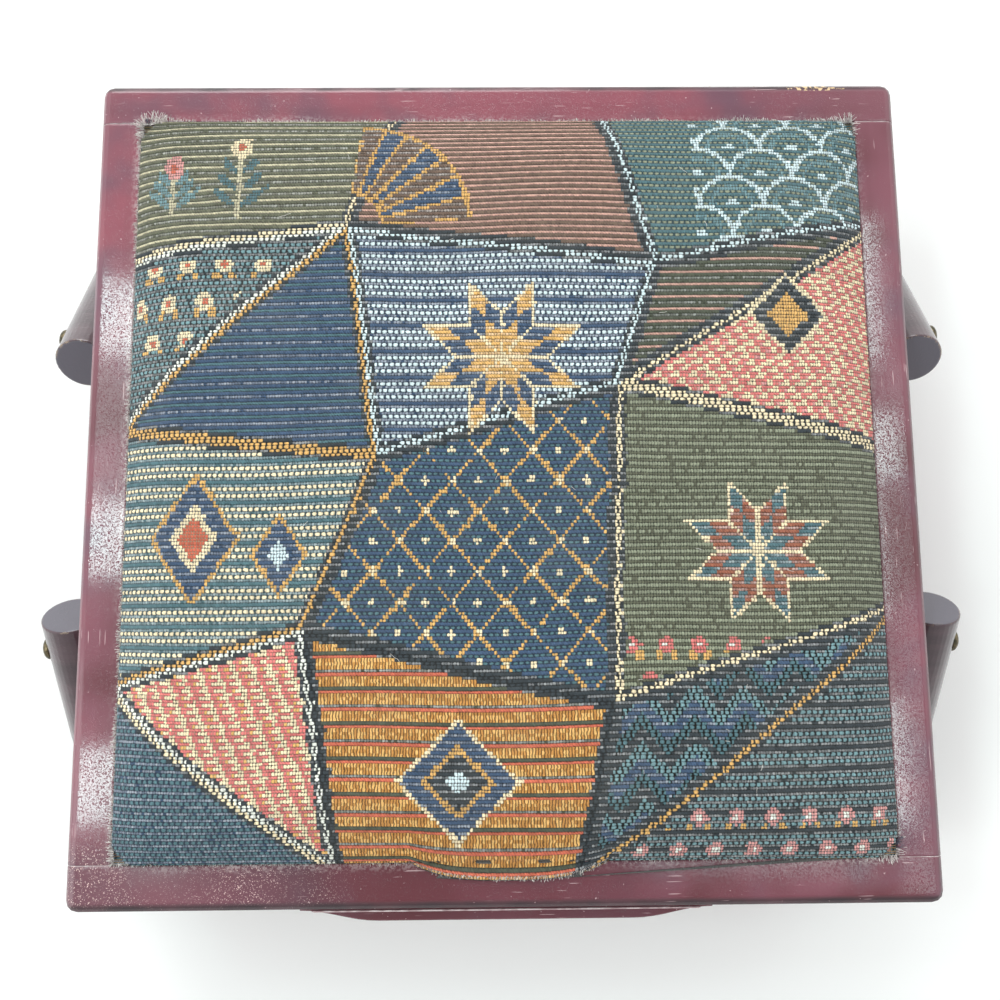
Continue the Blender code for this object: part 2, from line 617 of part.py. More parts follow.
def make_hinges():
    """Two hinges on the back: a leaf on the box, a leaf on the lid, a pin and four screws each."""
    centres = [(side, x_sign * (HALF_WIDTH - HINGE_INSET)) for side, x_sign in left_and_right()]
    seat_y = HALF_DEPTH + GAP + LEAF_THICK
    bm = bmesh.new()
    for _, x in centres:
        reach = HINGE_WIDTH / 2 + OVERRUN
        add_rod(bm, (x - reach, HINGE_Y, HINGE_Z), (x + reach, HINGE_Y, HINGE_Z), HINGE_PIN_RADIUS + GAP,
                HOLE_SIDES)
    pin_hole = as_cutter("hinge_pin_holes", bm)
    leaves = (("box", "back_wall", -1, BOX_LEAF_HEIGHT, 0), ("lid", "lid_back_rail", 1, LID_LEAF_HEIGHT, 1))
    for group, wood, direction, height, first in leaves:
        screw_z = HINGE_Z + direction * (KNUCKLE_RADIUS + GAP + height / 2)
        places = [x + s * HINGE_SCREW_SPACING / 2 for _, x in centres for s in (-1, 1)]
        bm = bmesh.new()
        for x in places:
            add_rod(bm, (x, seat_y - LEAF_THICK - SCREW_LENGTH - OVERRUN, screw_z),
                    (x, seat_y + OVERRUN, screw_z), SCREW_RADIUS + GAP, SCREW_STEPS)
        holes = as_cutter(group + "_screw_holes", bm)
        slot_z = seat_y + GAP + SCREW_HEAD_DOME
        bm = bmesh.new()
        for x in places:
            slot = block((x - SCREW_HEAD_RADIUS - OVERRUN, slot_z - SLOT_DEPTH, screw_z - SLOT_WIDTH / 2),
                         (x + SCREW_HEAD_RADIUS + OVERRUN, slot_z + OVERRUN, screw_z + SLOT_WIDTH / 2))
            joined = bpy.data.meshes.new("slot")
            slot.to_mesh(joined)
            slot.free()
            bm.from_mesh(joined)
            bpy.data.meshes.remove(joined)
        slots = as_cutter(group + "_screw_slots", bm)
        combine(bpy.data.objects[wood], holes)
        for side, x in centres:
            spans = knuckle_spans(x)
            make_leaf("hinge_" + side + "_" + group + "_leaf", group, spans[first::2],
                      (spans[0][0], spans[-1][1]), direction, height, pin_hole, holes)
            for number, s in enumerate((-1, 1), 1):
                make_screw("hinge_" + side + "_" + group + "_screw_" + str(number), group,
                           x + s * HINGE_SCREW_SPACING / 2, screw_z, slots)
    for side, x in centres:
        make_pin("hinge_" + side + "_pin", x)


# Tray and runners

def make_runners():
    """Strips glued inside the side walls, which carry the tray."""
    y_end = INNER_HALF_DEPTH - GAP
    for side, x_sign in left_and_right():
        x_faces = sorted((x_sign * (INNER_HALF_WIDTH - GAP), x_sign * (INNER_HALF_WIDTH - GAP - RUNNER_WIDTH)))
        bm = block((x_faces[0], -y_end, RUNNER_TOP_Z - RUNNER_THICK), (x_faces[1], y_end, RUNNER_TOP_Z))
        put(as_object("tray_runner_" + side, bm), "box", PALE_WOOD, 0.5)


def make_tray():
    """A shallow tray as wide as the box and half as deep, with two dividers."""
    wide = TRAY_HALF_WIDTH
    bm = block((-wide, TRAY_FRONT_Y, TRAY_BOTTOM_Z), (wide, TRAY_BACK_Y, TRAY_FLOOR_Z))
    put(as_object("tray_base", bm), "tray", PLYWOOD, 0.5)
    low_z = TRAY_FLOOR_Z + GAP
    walls = (("front", TRAY_FRONT_Y, TRAY_FRONT_Y + TRAY_WALL_THICK),
             ("back", TRAY_BACK_Y - TRAY_WALL_THICK, TRAY_BACK_Y))
    for end, near, far in walls:
        bm = block((-wide, near, low_z), (wide, far, TRAY_TOP_Z),
                   [("front", "top"), ("back", "top")], TRAY_ROUND)
        put(as_object("tray_" + end, bm, True), "tray", PALE_WOOD, 0.4)
    near = TRAY_FRONT_Y + TRAY_WALL_THICK + GAP
    far = TRAY_BACK_Y - TRAY_WALL_THICK - GAP
    divider = wide - TRAY_WALL_THICK - SIDE_COMPARTMENT
    for side, x_sign in left_and_right():
        for name, outer, thick, drop in (("end", wide, TRAY_WALL_THICK, 0.0),
                                         ("divider", divider, DIVIDER_THICK, DIVIDER_DROP)):
            x_faces = sorted((x_sign * outer, x_sign * (outer - thick)))
            bm = block((x_faces[0], near, low_z), (x_faces[1], far, TRAY_TOP_Z - drop),
                       [("left", "top"), ("right", "top")], TRAY_ROUND)
            put(as_object("tray_" + name + "_" + side, bm, True), "tray", PALE_WOOD, 0.4)


make_walls(make_groove_cutters())
make_bottom()
make_legs()
make_lid_frame()
make_lip()
make_pad()
make_hinges()
make_runners()
make_tray()
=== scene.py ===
# %% [markdown]
# # A sewing box with a padded tapestry lid
# The real box is a shallow square chest of lacquered mahogany. Its lid is a flat frame round a
# pad that is covered in woven tapestry, and it stands on four dowel legs that are bolted to the
# sides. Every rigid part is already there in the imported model, in metres. This script adds what
# the eye looks at: the finish of each surface, the small fasteners and the soft parts.

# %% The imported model
import math

import bmesh
import bpy
import numpy as np
from mathutils import Matrix, Vector, noise
from mathutils.bvhtree import BVHTree


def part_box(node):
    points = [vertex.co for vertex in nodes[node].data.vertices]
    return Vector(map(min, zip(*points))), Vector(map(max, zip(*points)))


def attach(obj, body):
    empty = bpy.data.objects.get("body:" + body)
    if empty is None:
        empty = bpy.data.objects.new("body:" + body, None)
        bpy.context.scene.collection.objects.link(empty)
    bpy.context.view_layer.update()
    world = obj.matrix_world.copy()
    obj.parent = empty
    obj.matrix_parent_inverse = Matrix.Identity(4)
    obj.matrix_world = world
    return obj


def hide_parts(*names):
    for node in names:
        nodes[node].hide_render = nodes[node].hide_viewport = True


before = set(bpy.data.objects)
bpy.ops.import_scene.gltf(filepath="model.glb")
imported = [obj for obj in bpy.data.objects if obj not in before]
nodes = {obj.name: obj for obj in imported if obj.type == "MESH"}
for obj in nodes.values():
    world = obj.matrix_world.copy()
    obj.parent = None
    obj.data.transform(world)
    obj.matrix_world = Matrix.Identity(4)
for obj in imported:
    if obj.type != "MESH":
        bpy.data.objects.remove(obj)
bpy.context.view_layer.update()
MM = 0.001
print("nodes in the packed model:", len(nodes))

# %% [markdown]
# ## Camera
# The picture was taken by hand from almost straight above, a little in front of the box and
# leaning back by about eight degrees. The four corners of the square lid fix where the eye was,
# so the camera is placed by that point and three small turns.


# %% Camera
def linked(name, data):
    """An object in the scene for a mesh, a lamp or a camera."""
    made = bpy.data.objects.new(name, data)
    bpy.context.scene.collection.objects.link(made)
    return made


EYE = Vector((-5.47 * MM, -64.23 * MM, 478.01 * MM))
LENS = 38.0
TURNS = (("X", 8.289), ("Y", -0.669), ("Z", -0.421))
LID_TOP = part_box("lid_front_rail")[1].z

turned = Matrix.Identity(4)
for axis, degrees in TURNS:
    turned = turned @ Matrix.Rotation(math.radians(degrees), 4, axis)
camera_data = bpy.data.cameras.new("camera")
camera_data.lens = LENS
camera_data.sensor_width = 36
camera_data.clip_start = 0.01
camera = linked("camera", camera_data)
camera.matrix_world = Matrix.Translation(EYE) @ turned
bpy.context.scene.camera = camera
bpy.context.scene.view_settings.view_transform = "Standard"
print("eye above the lid:", round((EYE.z - LID_TOP) / MM), "mm")

# %% [markdown]
# ## Nodes in few words
# A material is a tree of nodes. Made by hand in the editor, each node takes several clicks; made
# in a script, each takes several lines. Small helpers keep the rest of the file short. One adds
# a node and fills its inputs by name. A wire is the output of a node, and it can stand in a sum
# like a number: each sign of the sum then adds the node that does that step.


# %% Wires and nodes
class Wire:
    """An output of a node. A sum or a product with it adds the node that works it out."""

    def __init__(self, socket):
        self.socket = socket
        self.tree = socket.id_data

    def __add__(self, other):
        return step("ADD", self, other)

    def __sub__(self, other):
        return step("SUBTRACT", self, other)

    def __rsub__(self, other):
        return step("SUBTRACT", other, self)

    def __mul__(self, other):
        return step("MULTIPLY", self, other)

    def __pow__(self, other):
        return step("POWER", self, other)

    def __abs__(self):
        return step("ABSOLUTE", self)


def fill(node, values):
    """Fills a node's inputs with numbers, colours or wires."""
    for key, value in values.items():
        if isinstance(value, Wire):
            value.tree.links.new(value.socket, node.inputs[key])
        else:
            node.inputs[key].default_value = value


def add_node(tree, kind, values=None, **settings):
    """Adds a node, sets its settings and fills its inputs."""
    made = tree.nodes.new(kind)
    for name, value in settings.items():
        setattr(made, name, value)
    fill(made, values or {})
    return made


def wire(tree, kind, values=None, output=0, **settings):
    """Adds a node and gives one of its outputs."""
    return Wire(add_node(tree, kind, values, **settings).outputs[output])


def outputs(node):
    """All outputs of a node by name."""
    return {socket.name: Wire(socket) for socket in node.outputs}


def step(operation, *values):
    """One step of arithmetic with wires and numbers."""
    tree = next(value.tree for value in values if isinstance(value, Wire))
    return wire(tree, "ShaderNodeMath", dict(enumerate(values)), operation=operation)


# %% Steps that come back often
def vector_step(operation, first, second=(0.0, 0.0, 0.0)):
    """One step of arithmetic with vectors."""
    output = "Value" if operation in ("LENGTH", "DISTANCE", "DOT_PRODUCT") else "Vector"
    values = {0: first, "Scale" if operation == "SCALE" else 1: second}
    return wire(first.tree, "ShaderNodeVectorMath", values, output, operation=operation)


def split(vector):
    """The X, Y and Z of a vector."""
    parts = add_node(vector.tree, "ShaderNodeSeparateXYZ", {0: vector})
    return [Wire(socket) for socket in parts.outputs]


def ramp(value, low, high, start=0.0, end=1.0):
    """Turns the range from low to high into start to end, smoothly at both ends."""
    return wire(value.tree, "ShaderNodeMapRange",
                {"Value": value, "From Min": low, "From Max": high, "To Min": start, "To Max": end},
                interpolation_type="SMOOTHSTEP")


def noise_at(vector, scale, detail=2.0, roughness=0.5):
    """A cloudy pattern from 0 to 1. The scale is in clouds to a metre."""
    return wire(vector.tree, "ShaderNodeTexNoise",
                {"Vector": vector, "Scale": scale, "Detail": detail, "Roughness": roughness})


def new_material(name, **fixed):
    """A material with a Principled shader, and the values that are the same all over it."""
    material = bpy.data.materials.new(name)
    material.use_nodes = True
    shader = material.node_tree.nodes["Principled BSDF"]
    for key, value in fixed.items():
        shader.inputs[key.replace("_", " ").title().replace("Ior", "IOR")].default_value = value
    return material, material.node_tree, shader


def object_coordinates(tree, turn=0.0):
    """Object coordinates, turned about Z by a number of degrees."""
    return wire(tree, "ShaderNodeMapping",
                {"Vector": wire(tree, "ShaderNodeTexCoord", output="Object"),
                 "Rotation": (0.0, 0.0, math.radians(turn))})


# %% [markdown]
# ## Floor and light
# The box stands on white paper in a bright room. The walls of the room are bright and the part
# of the ceiling above the box is dim, so the lacquer looks deep where it shows the ceiling. A
# big soft lamp behind the box gives the paper its white and leaves a faint shade in front.
# Windows show up as pale patches in the lacquer of the rails. To put one where the lacquer shows
# it, the eye is mirrored in the plane of the lid: a line from the mirrored eye through the patch
# on the rail leads up to the window. Far from the box the paper fades to plain white for the
# camera, so that a view from the side has no grey horizon.

# %% Floor and light
FLOOR_SIZE = 6.0
FADE = (0.7, 2.0)
PAPER = (0.93, 0.935, 0.925, 1.0)
WHITE = (1.0, 1.0, 1.0, 1.0)


def mirrored(spot, height):
    """The place at a given height that the flat lid shows at this spot."""
    below = Vector((EYE.x, EYE.y, 2 * LID_TOP - EYE.z))
    way = Vector((*spot, LID_TOP)) - below
    return below + way * ((height - below.z) / way.z)


def soft_lamp(name, place, aim, size, power):
    """A rectangular lamp that points at a place. Its sides run along X and Y."""
    data = bpy.data.lights.new(name, "AREA")
    data.shape = "RECTANGLE"
    data.size, data.size_y = size
    data.energy = power
    back = (Vector(place) - Vector(aim)).normalized()
    side = Vector((0, 1, 0)).cross(back).normalized()
    turn = Matrix((side, back.cross(side), back)).transposed()
    linked(name, data).matrix_world = Matrix.Translation(place) @ turn.to_4x4()
    return data


half = FLOOR_SIZE / 2
floor_mesh = bpy.data.meshes.new("floor")
floor_mesh.from_pydata([(-half, -half, 0), (half, -half, 0), (half, half, 0), (-half, half, 0)],
                       [], [(0, 1, 2, 3)])
floor = linked("floor", floor_mesh)
paper, tree, shader = new_material("paper", base_color=PAPER, roughness=0.8)
fading = ramp(vector_step("LENGTH", object_coordinates(tree)), *FADE)
seen = wire(tree, "ShaderNodeLightPath", output="Is Camera Ray")
white = wire(tree, "ShaderNodeEmission", {"Color": WHITE, "Strength": 1.0})
far_paper = wire(tree, "ShaderNodeMixShader",
                 {0: fading * seen, 1: Wire(shader.outputs[0]), 2: white})
fill(tree.nodes["Material Output"], {"Surface": far_paper})
floor_mesh.materials.append(paper)

# %% The room
WALL_LIGHT = 1.38
CEILING_LIGHT = 0.42
FRONT_SHARE = 0.58
CEILING_EDGE = (0.84, 1.00)
FRONT_EDGE = (-0.15, -0.70)
world = bpy.data.worlds.new("room")
bpy.context.scene.world = world
world.use_nodes = True
tree = world.node_tree
rays = outputs(add_node(tree, "ShaderNodeLightPath"))
seen = step("MAXIMUM", rays["Is Camera Ray"], rays["Is Transmission Ray"])
direction = wire(tree, "ShaderNodeTexCoord", output="Generated")
_, toward_back, upward = split(direction)
upward = upward + noise_at(direction, 3.2) * 0.3
room_light = ramp(upward, *CEILING_EDGE, WALL_LIGHT, CEILING_LIGHT)
room_light = room_light * ramp(toward_back, *FRONT_EDGE, 1.0, FRONT_SHARE)
fill(tree.nodes["Background"], {"Color": WHITE, "Strength": room_light * (1.0 - seen) + seen})

# %% Lamps and windows
WINDOW_COLOUR = (0.80, 1.0, 0.98)
WINDOW_HEIGHT = 1.35
# name, place on the lid where it shows, width and depth, watts
WINDOWS = (("left_back", (-0.1420, 0.059), (0.15, 0.118), 1.10),
           ("left_between", (-0.1420, 0.018), (0.15, 0.220), 0.44),
           ("left_middle", (-0.1440, -0.022), (0.15, 0.118), 1.12),
           ("left_front", (-0.1465, -0.108), (0.14, 0.110), 0.95),
           ("right_back", (0.1350, 0.067), (0.035, 0.230), 0.42),
           ("right_middle", (0.1375, 0.009), (0.045, 0.107), 0.22),
           ("right_lower", (0.1330, -0.030), (0.018, 0.200), 0.16),
           ("right_front", (0.1355, -0.1025), (0.030, 0.185), 0.22),
           ("right_wide", (0.1410, -0.045), (0.065, 0.730), 0.38),
           ("front_left", (-0.1180, -0.1365), (0.078, 0.022), 0.015),
           ("front_corner", (0.1440, -0.1400), (0.070, 0.070), 0.055),
           ("front_right", (0.0850, -0.1370), (0.34, 0.022), 0.12))
soft_lamp("behind", (-0.5, 2.3, 1.35), (0.0, 0.0, 0.1), (1.4, 1.2), 34.0)
soft_lamp("left_side", (-1.6, -0.7, 1.8), (0.0, -0.1, 0.0), (1.3, 1.3), 11.5)
for name, spot, size, power in WINDOWS:
    lamp = soft_lamp("window_" + name, mirrored(spot, WINDOW_HEIGHT), (*spot, LID_TOP), size, power)
    lamp.color = WINDOW_COLOUR
print("lamps:", len(bpy.data.lights))

# %% [markdown]
# ## Patterns that several finishes share
# Wood grain, the fine ripple of dried lacquer and the wear along edges are needed more than
# once, so each is a shader group: a small tree with its own inputs and outputs. A group puts out
# masks and heights only, and the material decides what colour or gloss they stand for.


# %% Node groups
def new_group(name, kind, inputs, results):
    """An empty node group: its tree, its inputs as wires, and the node that its results go to."""
    tree = bpy.data.node_groups.new(name, kind)
    for socket_name, socket_kind, value in inputs:
        socket = tree.interface.new_socket(socket_name, in_out="INPUT",
                                           socket_type="NodeSocket" + socket_kind)
        if value is not None:
            socket.default_value = value
    for socket_name, socket_kind in results:
        tree.interface.new_socket(socket_name, in_out="OUTPUT",
                                  socket_type="NodeSocket" + socket_kind)
    return tree, outputs(add_node(tree, "NodeGroupInput")), add_node(tree, "NodeGroupOutput")


def use_group(group, vector, **values):
    """Puts a shader group into the tree of a vector and gives its outputs."""
    return outputs(add_node(vector.tree, "ShaderNodeGroup", {"Vector": vector, **values},
                            node_tree=group))


# %% Wood grain
grain_group, given, out = new_group(
    "wood grain", "ShaderNodeTree", [("Vector", "Vector", None), ("Fineness", "Float", 90.0)],
    [("Figure", "Float"), ("Pores", "Float")])
FIGURE_STRETCH = (0.045, 1.0, 1.0)
PORE_STRETCH = (0.09, 1.0, 1.0)
PORE_FINENESS_SHARE = 22.0
figure = noise_at(vector_step("MULTIPLY", given["Vector"], FIGURE_STRETCH), given["Fineness"],
                  6.0, 0.62)
pores = noise_at(vector_step("MULTIPLY", given["Vector"], PORE_STRETCH),
                 given["Fineness"] * PORE_FINENESS_SHARE, 1.0)
fill(out, {"Figure": figure, "Pores": ramp(pores, 0.60, 0.70)})
print("group:", grain_group.name)

# %% Lacquer ripple
ripple_group, given, out = new_group(
    "lacquer ripple", "ShaderNodeTree", [("Vector", "Vector", None), ("Fineness", "Float", 700.0)],
    [("Height", "Float"), ("Specks", "Float")])
coarse = noise_at(given["Vector"], given["Fineness"])
fine = noise_at(given["Vector"], given["Fineness"] * 1.7, 2.0, 0.6)
thick_places = ramp(noise_at(given["Vector"], 16.0), 0.35, 0.62, 0.40, 1.25)
fill(out, {"Height": ramp(fine, 0.52, 0.78) * thick_places + coarse * 0.10,
           "Specks": ramp(fine, 0.60, 0.68)})
print("group:", ripple_group.name)

# %% Edge wear
wear_group, given, out = new_group(
    "edge wear", "ShaderNodeTree",
    [("Vector", "Vector", None), ("Width", "Float", 0.8 * MM), ("Fineness", "Float", 300.0),
     ("Amount", "Float", 0.5)],
    [("Edge", "Float"), ("Chips", "Float")])
tree = wear_group
rounded = wire(tree, "ShaderNodeBevel", {"Radius": given["Width"]}, samples=6)
facing = wire(tree, "ShaderNodeNewGeometry", output="Normal")
edge = ramp(vector_step("DOT_PRODUCT", rounded, facing), 0.995, 0.90)
patches = noise_at(given["Vector"], given["Fineness"], 4.0, 0.65)
above = patches - (0.82 - given["Amount"] * 0.4)
fill(out, {"Edge": edge, "Chips": edge * ramp(above, 0.0, 0.03)})
print("group:", wear_group.name)

# %% [markdown]
# ## Mahogany lacquer
# The frame of the lid and the walls are stained wine red and sprayed with a thick gloss lacquer.
# The grain hardly shows through; the stain lies in soft clouds, and painted shade makes the
# boards darker towards the front and lighter towards the back. The skin of the lacquer has a
# fine ripple that breaks a reflection into sparkles, a few pale specks of dust are caught in it,
# and handling has left thin pale scratches. Beside the pad, glue and lint make a dull bloom. The
# lid also has marks that the walls don't have: its outer edge is nearly black, partly a dark
# stain and partly painted shade where the edge turns away from the light; the front rail is
# darkest in its middle; its left part is darker and greyer, with painted glints, pale dots that
# stand for the sparkle of the lacquer; and a knock has chipped the back edge. Each mark is a
# mask of its own. The grain runs along each board, so there is one material for boards along X
# and one along Y.


# %% Colours and finishes
def linear(red, green, blue):
    """A colour as it looks on a screen, from 0 to 255, in the numbers that light adds up in."""
    shares = np.array((red, green, blue), float) / 255
    return np.where(shares <= 0.04045, shares / 12.92, ((shares + 0.055) / 1.055) ** 2.4)


def paint(red, green, blue):
    """The same colour with an alpha of 1, as a socket wants it."""
    return (*linear(red, green, blue), 1.0)


def mix(mask, first, second):
    """Goes from the first colour to the second as the mask goes from 0 to 1."""
    return wire(mask.tree, "ShaderNodeMix", {0: mask, 6: first, 7: second}, 2, data_type="RGBA")


def soft_edges(radius, height, distance):
    """The surface normal with sharp edges rounded off, and then the small relief on it."""
    rounded = wire(height.tree, "ShaderNodeBevel", {"Radius": radius}, samples=6)
    return wire(height.tree, "ShaderNodeBump",
                {"Height": height, "Distance": distance, "Strength": 1.0, "Normal": rounded})


def dress(names, material):
    """Gives CAD nodes a finish."""
    for name in names:
        nodes[name].material_slots[0].material = material


# %% Marks of use, painted shade and painted glints
SCRATCH_STRETCH = (0.05, 1.0, 1.0)
KNOCK = (0.1205, 0.1484, 0.1037)
KNOCK_SHAPE = (75.0, 620.0, 300.0)
BLOOM = (0.1385, 0.1335)
CLEAN_SIDE = 0.1330
LEFT_GLINT_X = (-0.048, -0.078)
LEFT_GLINT_Y = (-0.122, -0.134)
DEEP_SHIFT = 12.0 * MM
DEEP_X = (0.075, 0.050)
DEEP_Y = (-0.130, -0.138)
RIM_EDGE = (0.1464, 0.1482)
RIM_CORNER = (0.1455, 0.1475)
RIGHT_RIM_SHIFT = 0.9 * MM
RIM_DEPTH = 3.5 * MM


def scratches(vector):
    """A mask of thin scratches that run roughly along a board, in a few worn places."""
    stretched = vector_step("MULTIPLY", vector, SCRATCH_STRETCH)
    lines = ramp(noise_at(stretched, 1500.0, 1.0), 0.700, 0.735)
    return lines * ramp(noise_at(vector, 34.0), 0.46, 0.60)


def knocked_edge(vector):
    """A mask of small chips where the lid's back edge was knocked."""
    away = vector_step("MULTIPLY", vector_step("SUBTRACT", vector, KNOCK), KNOCK_SHAPE)
    return (ramp(vector_step("LENGTH", away), 1.0, 0.8)
            * ramp(noise_at(vector, 620.0), 0.52, 0.56))


def left_glint_area(x, y):
    """A mask of the front rail's left part, where the colour is darker and glints are painted."""
    return ramp(x, *LEFT_GLINT_X) * ramp(y, *LEFT_GLINT_Y)


def deep_middle(x, y):
    """A mask of the front rail's middle, where the colour is darkest."""
    return ramp(abs(x + DEEP_SHIFT), *DEEP_X, 0.0, 0.65) * ramp(y, *DEEP_Y)


def rim_stain_and_shade(vector, x, y, z):
    """A mask of the dark along the lid's outer edge, partly a stain and partly painted shade: full
    at the front and the back, half as strong at the right, and none at the left."""
    ends = abs(y)
    uneven = ramp(noise_at(vector, 60.0, 3.0), 0.3, 0.7, 0.6, 1.0)
    strength = uneven * ramp(ends, *RIM_CORNER, 0.5, 1.0)
    upper = ramp(z, LID_TOP - RIM_DEPTH, LID_TOP - RIM_DEPTH + 0.6 * MM)
    farthest = step("MAXIMUM", x - RIGHT_RIM_SHIFT, ends)
    return strength * upper * ramp(farthest, *RIM_EDGE)


def bloom(vector, along, x, y):
    """A mask of the glue and lint that lie dull beside the pad, thinner on the right side."""
    near = ramp(step("MAXIMUM", abs(x), abs(y)), *BLOOM)
    lint = ramp(noise_at(along, 900.0, 4.0, 0.7), 0.44, 0.60)
    thick = ramp(noise_at(vector, 26.0), 0.38, 0.66, 0.25, 0.95)
    return near * lint * thick * ramp(x, CLEAN_SIDE, CLEAN_SIDE + MM, 1.0, 0.35)


# %% Mahogany lacquer
MAHOGANY_DARK = paint(92, 36, 46)
MAHOGANY = paint(120, 64, 78)
MAHOGANY_LIGHT = paint(138, 68, 82)
MAHOGANY_GREY = paint(98, 66, 82)
RIM_STAIN_AND_SHADE = paint(58, 47, 51)
BARE_WOOD = paint(214, 184, 140)
DUST = paint(190, 172, 172)
SCRATCH = paint(206, 176, 178)
PAINTED_GLINT = paint(238, 204, 196)
LEFT_DARKENING = paint(72, 52, 62)


def mahogany(name, turn, is_lid):
    """Wine-red lacquered wood with its grain turned by a number of degrees."""
    material, tree, shader = new_material(name, roughness=0.5, coat_weight=1.0,
                                          coat_roughness=0.07, coat_ior=1.5, ior=1.35)
    level = object_coordinates(tree)
    along = object_coordinates(tree, turn)
    x, y, z = split(level)
    grain = use_group(grain_group, along, Fineness=85.0)
    ripple = use_group(ripple_group, along, Fineness=1400.0)
    wear = use_group(wear_group, along, Width=0.9 * MM, Fineness=170.0, Amount=0.10)
    # Soft clouds of stain, plus painted shade: the term in y makes the boards darker towards the
    # front and lighter towards the back.
    cloud = noise_at(level, 11.0, 3.0, 0.6) + y * 0.6
    colour = mix(ramp(cloud, 0.36, 0.52), MAHOGANY_DARK, MAHOGANY)
    colour = mix(ramp(cloud, 0.50, 0.70), colour, MAHOGANY_LIGHT)
    greyed = ramp(noise_at(level, 19.0, 3.0, 0.6), 0.44, 0.62, 0.0, 0.8)
    colour = mix(greyed, colour, MAHOGANY_GREY)
    colour = mix(ramp(grain["Figure"], 0.42, 0.66) * 0.25, colour, MAHOGANY_DARK)
    colour = mix(wear["Edge"] * 0.15, colour, MAHOGANY_LIGHT)
    if is_lid:
        on_top = ramp(z, LID_TOP - 2 * MM, LID_TOP - MM)
        dull = left_glint_area(x, y) * on_top
        thick = ramp(noise_at(level, 30.0), 0.34, 0.56, 0.25, 0.95)
        rim = rim_stain_and_shade(level, x, y, z)
        # The front rail is darkest in its middle.
        colour = mix(deep_middle(x, y), colour, MAHOGANY_DARK)
        # The front rail's left is darker and greyer.
        colour = mix(dull * 0.45, colour, LEFT_DARKENING)
        # Pale dots are painted there as glints, standing for the sparkle of the lacquer.
        colour = mix(ripple["Specks"] * dull * thick, colour, PAINTED_GLINT)
        # Painted shade and a dark stain: the lid's outer edge goes nearly black.
        colour = mix(rim, colour, RIM_STAIN_AND_SHADE)
        fill(shader, {"Coat Weight": ramp(rim, 0.0, 1.0, 1.0, 0.15)})
    specks = ramp(noise_at(along, 1100.0, 1.0), 0.76, 0.80)
    colour = mix(step("MAXIMUM", scratches(along), specks) * 0.7, colour, SCRATCH)
    colour = mix(step("MAXIMUM", wear["Chips"], knocked_edge(level)), colour, BARE_WOOD)
    if is_lid:
        colour = mix(bloom(level, along, x, y) * on_top, colour, DUST)
    normal = soft_edges(1.0 * MM, ripple["Height"], 0.045 * MM)
    fill(shader, {"Base Color": colour, "Normal": normal, "Coat Normal": normal})
    return material


dress(("lid_front_rail", "lid_back_rail", "thumb_lip"), mahogany("mahogany_rail", 0, True))
dress(("lid_left_stile", "lid_right_stile"), mahogany("mahogany_stile", 90, True))
dress(("front_wall", "back_wall"), mahogany("mahogany_wall_across", 0, False))
dress(("left_wall", "right_wall"), mahogany("mahogany_wall_along", 90, False))
print("mahogany boards: 9")

# %% [markdown]
# ## Dark lacquer of the legs
# Each leg is a length of dowel, sawn square and dipped in a darker stain. Its end faces are
# greyer, partly because the lacquer on the end grain is thinner and partly as a painted sheen of
# reflected light, and at the sharp rim of the end the lacquer has chipped down to pale wood.
# The end faces are found by the way they face, along the leg's own slope.

# %% Dark lacquer
LEG_BROWN = paint(58, 36, 45)
LEG_LIGHT = paint(76, 52, 60)
END_GREY_AND_SHEEN = paint(84, 80, 92)
LEG_SLOPE = Vector((0.0, 0.786, 0.618))

dark_lacquer, tree, shader = new_material("dark_lacquer", coat_weight=0.8, coat_roughness=0.16)
along = object_coordinates(tree)
grain = use_group(grain_group, along, Fineness=110.0)
ripple = use_group(ripple_group, along, Fineness=520.0)
wear = use_group(wear_group, along, Width=1.1 * MM, Fineness=260.0, Amount=0.72)
facing = split(wire(tree, "ShaderNodeNewGeometry", output="Normal"))
inward = step("SIGN", split(along)[1]) * -LEG_SLOPE.y
end_face = ramp(facing[1] * inward + facing[2] * LEG_SLOPE.z, 0.90, 0.97)
colour = mix(ramp(grain["Figure"], 0.35, 0.65), LEG_BROWN, LEG_LIGHT)
# The end faces are greyer: thinner lacquer on end grain, and a painted sheen.
colour = mix(end_face, colour, END_GREY_AND_SHEEN)
colour = mix(wear["Edge"] * 0.4, colour, LEG_LIGHT)
colour = mix(wear["Chips"], colour, BARE_WOOD)
fill(shader, {"Base Color": colour, "Roughness": ramp(end_face, 0.0, 1.0, 0.36, 0.55),
              "Normal": soft_edges(1.2 * MM, ripple["Height"], 0.07 * MM)})
legs = [name for name in nodes if name.startswith(("leg_front", "leg_back"))]
dress(legs, dark_lacquer)
print("legs:", len(legs))

# %% [markdown]
# ## Bare wood inside
# The tray and its runners are pale beech, planed and waxed, and the bottom is thin plywood. Both
# use the grain group with other colours and a dull, nearly uncoated surface.


# %% Bare wood
def bare_wood(name, light, dark, turn, fineness):
    """Waxed pale wood."""
    material, tree, shader = new_material(name, coat_weight=0.12, coat_roughness=0.4)
    along = object_coordinates(tree, turn)
    grain = use_group(grain_group, along, Fineness=fineness)
    wear = use_group(wear_group, along, Width=0.9 * MM, Fineness=200.0, Amount=0.3)
    colour = mix(ramp(grain["Figure"], 0.3, 0.7), light, dark)
    colour = mix(grain["Pores"] * 0.5, colour, dark)
    colour = mix(wear["Edge"] * 0.3, colour, light)
    relief = grain["Figure"] - grain["Pores"]
    fill(shader, {"Base Color": colour, "Roughness": ramp(grain["Figure"], 0.3, 0.7, 0.52, 0.66),
                  "Normal": soft_edges(0.7 * MM, relief, 0.08 * MM)})
    return material


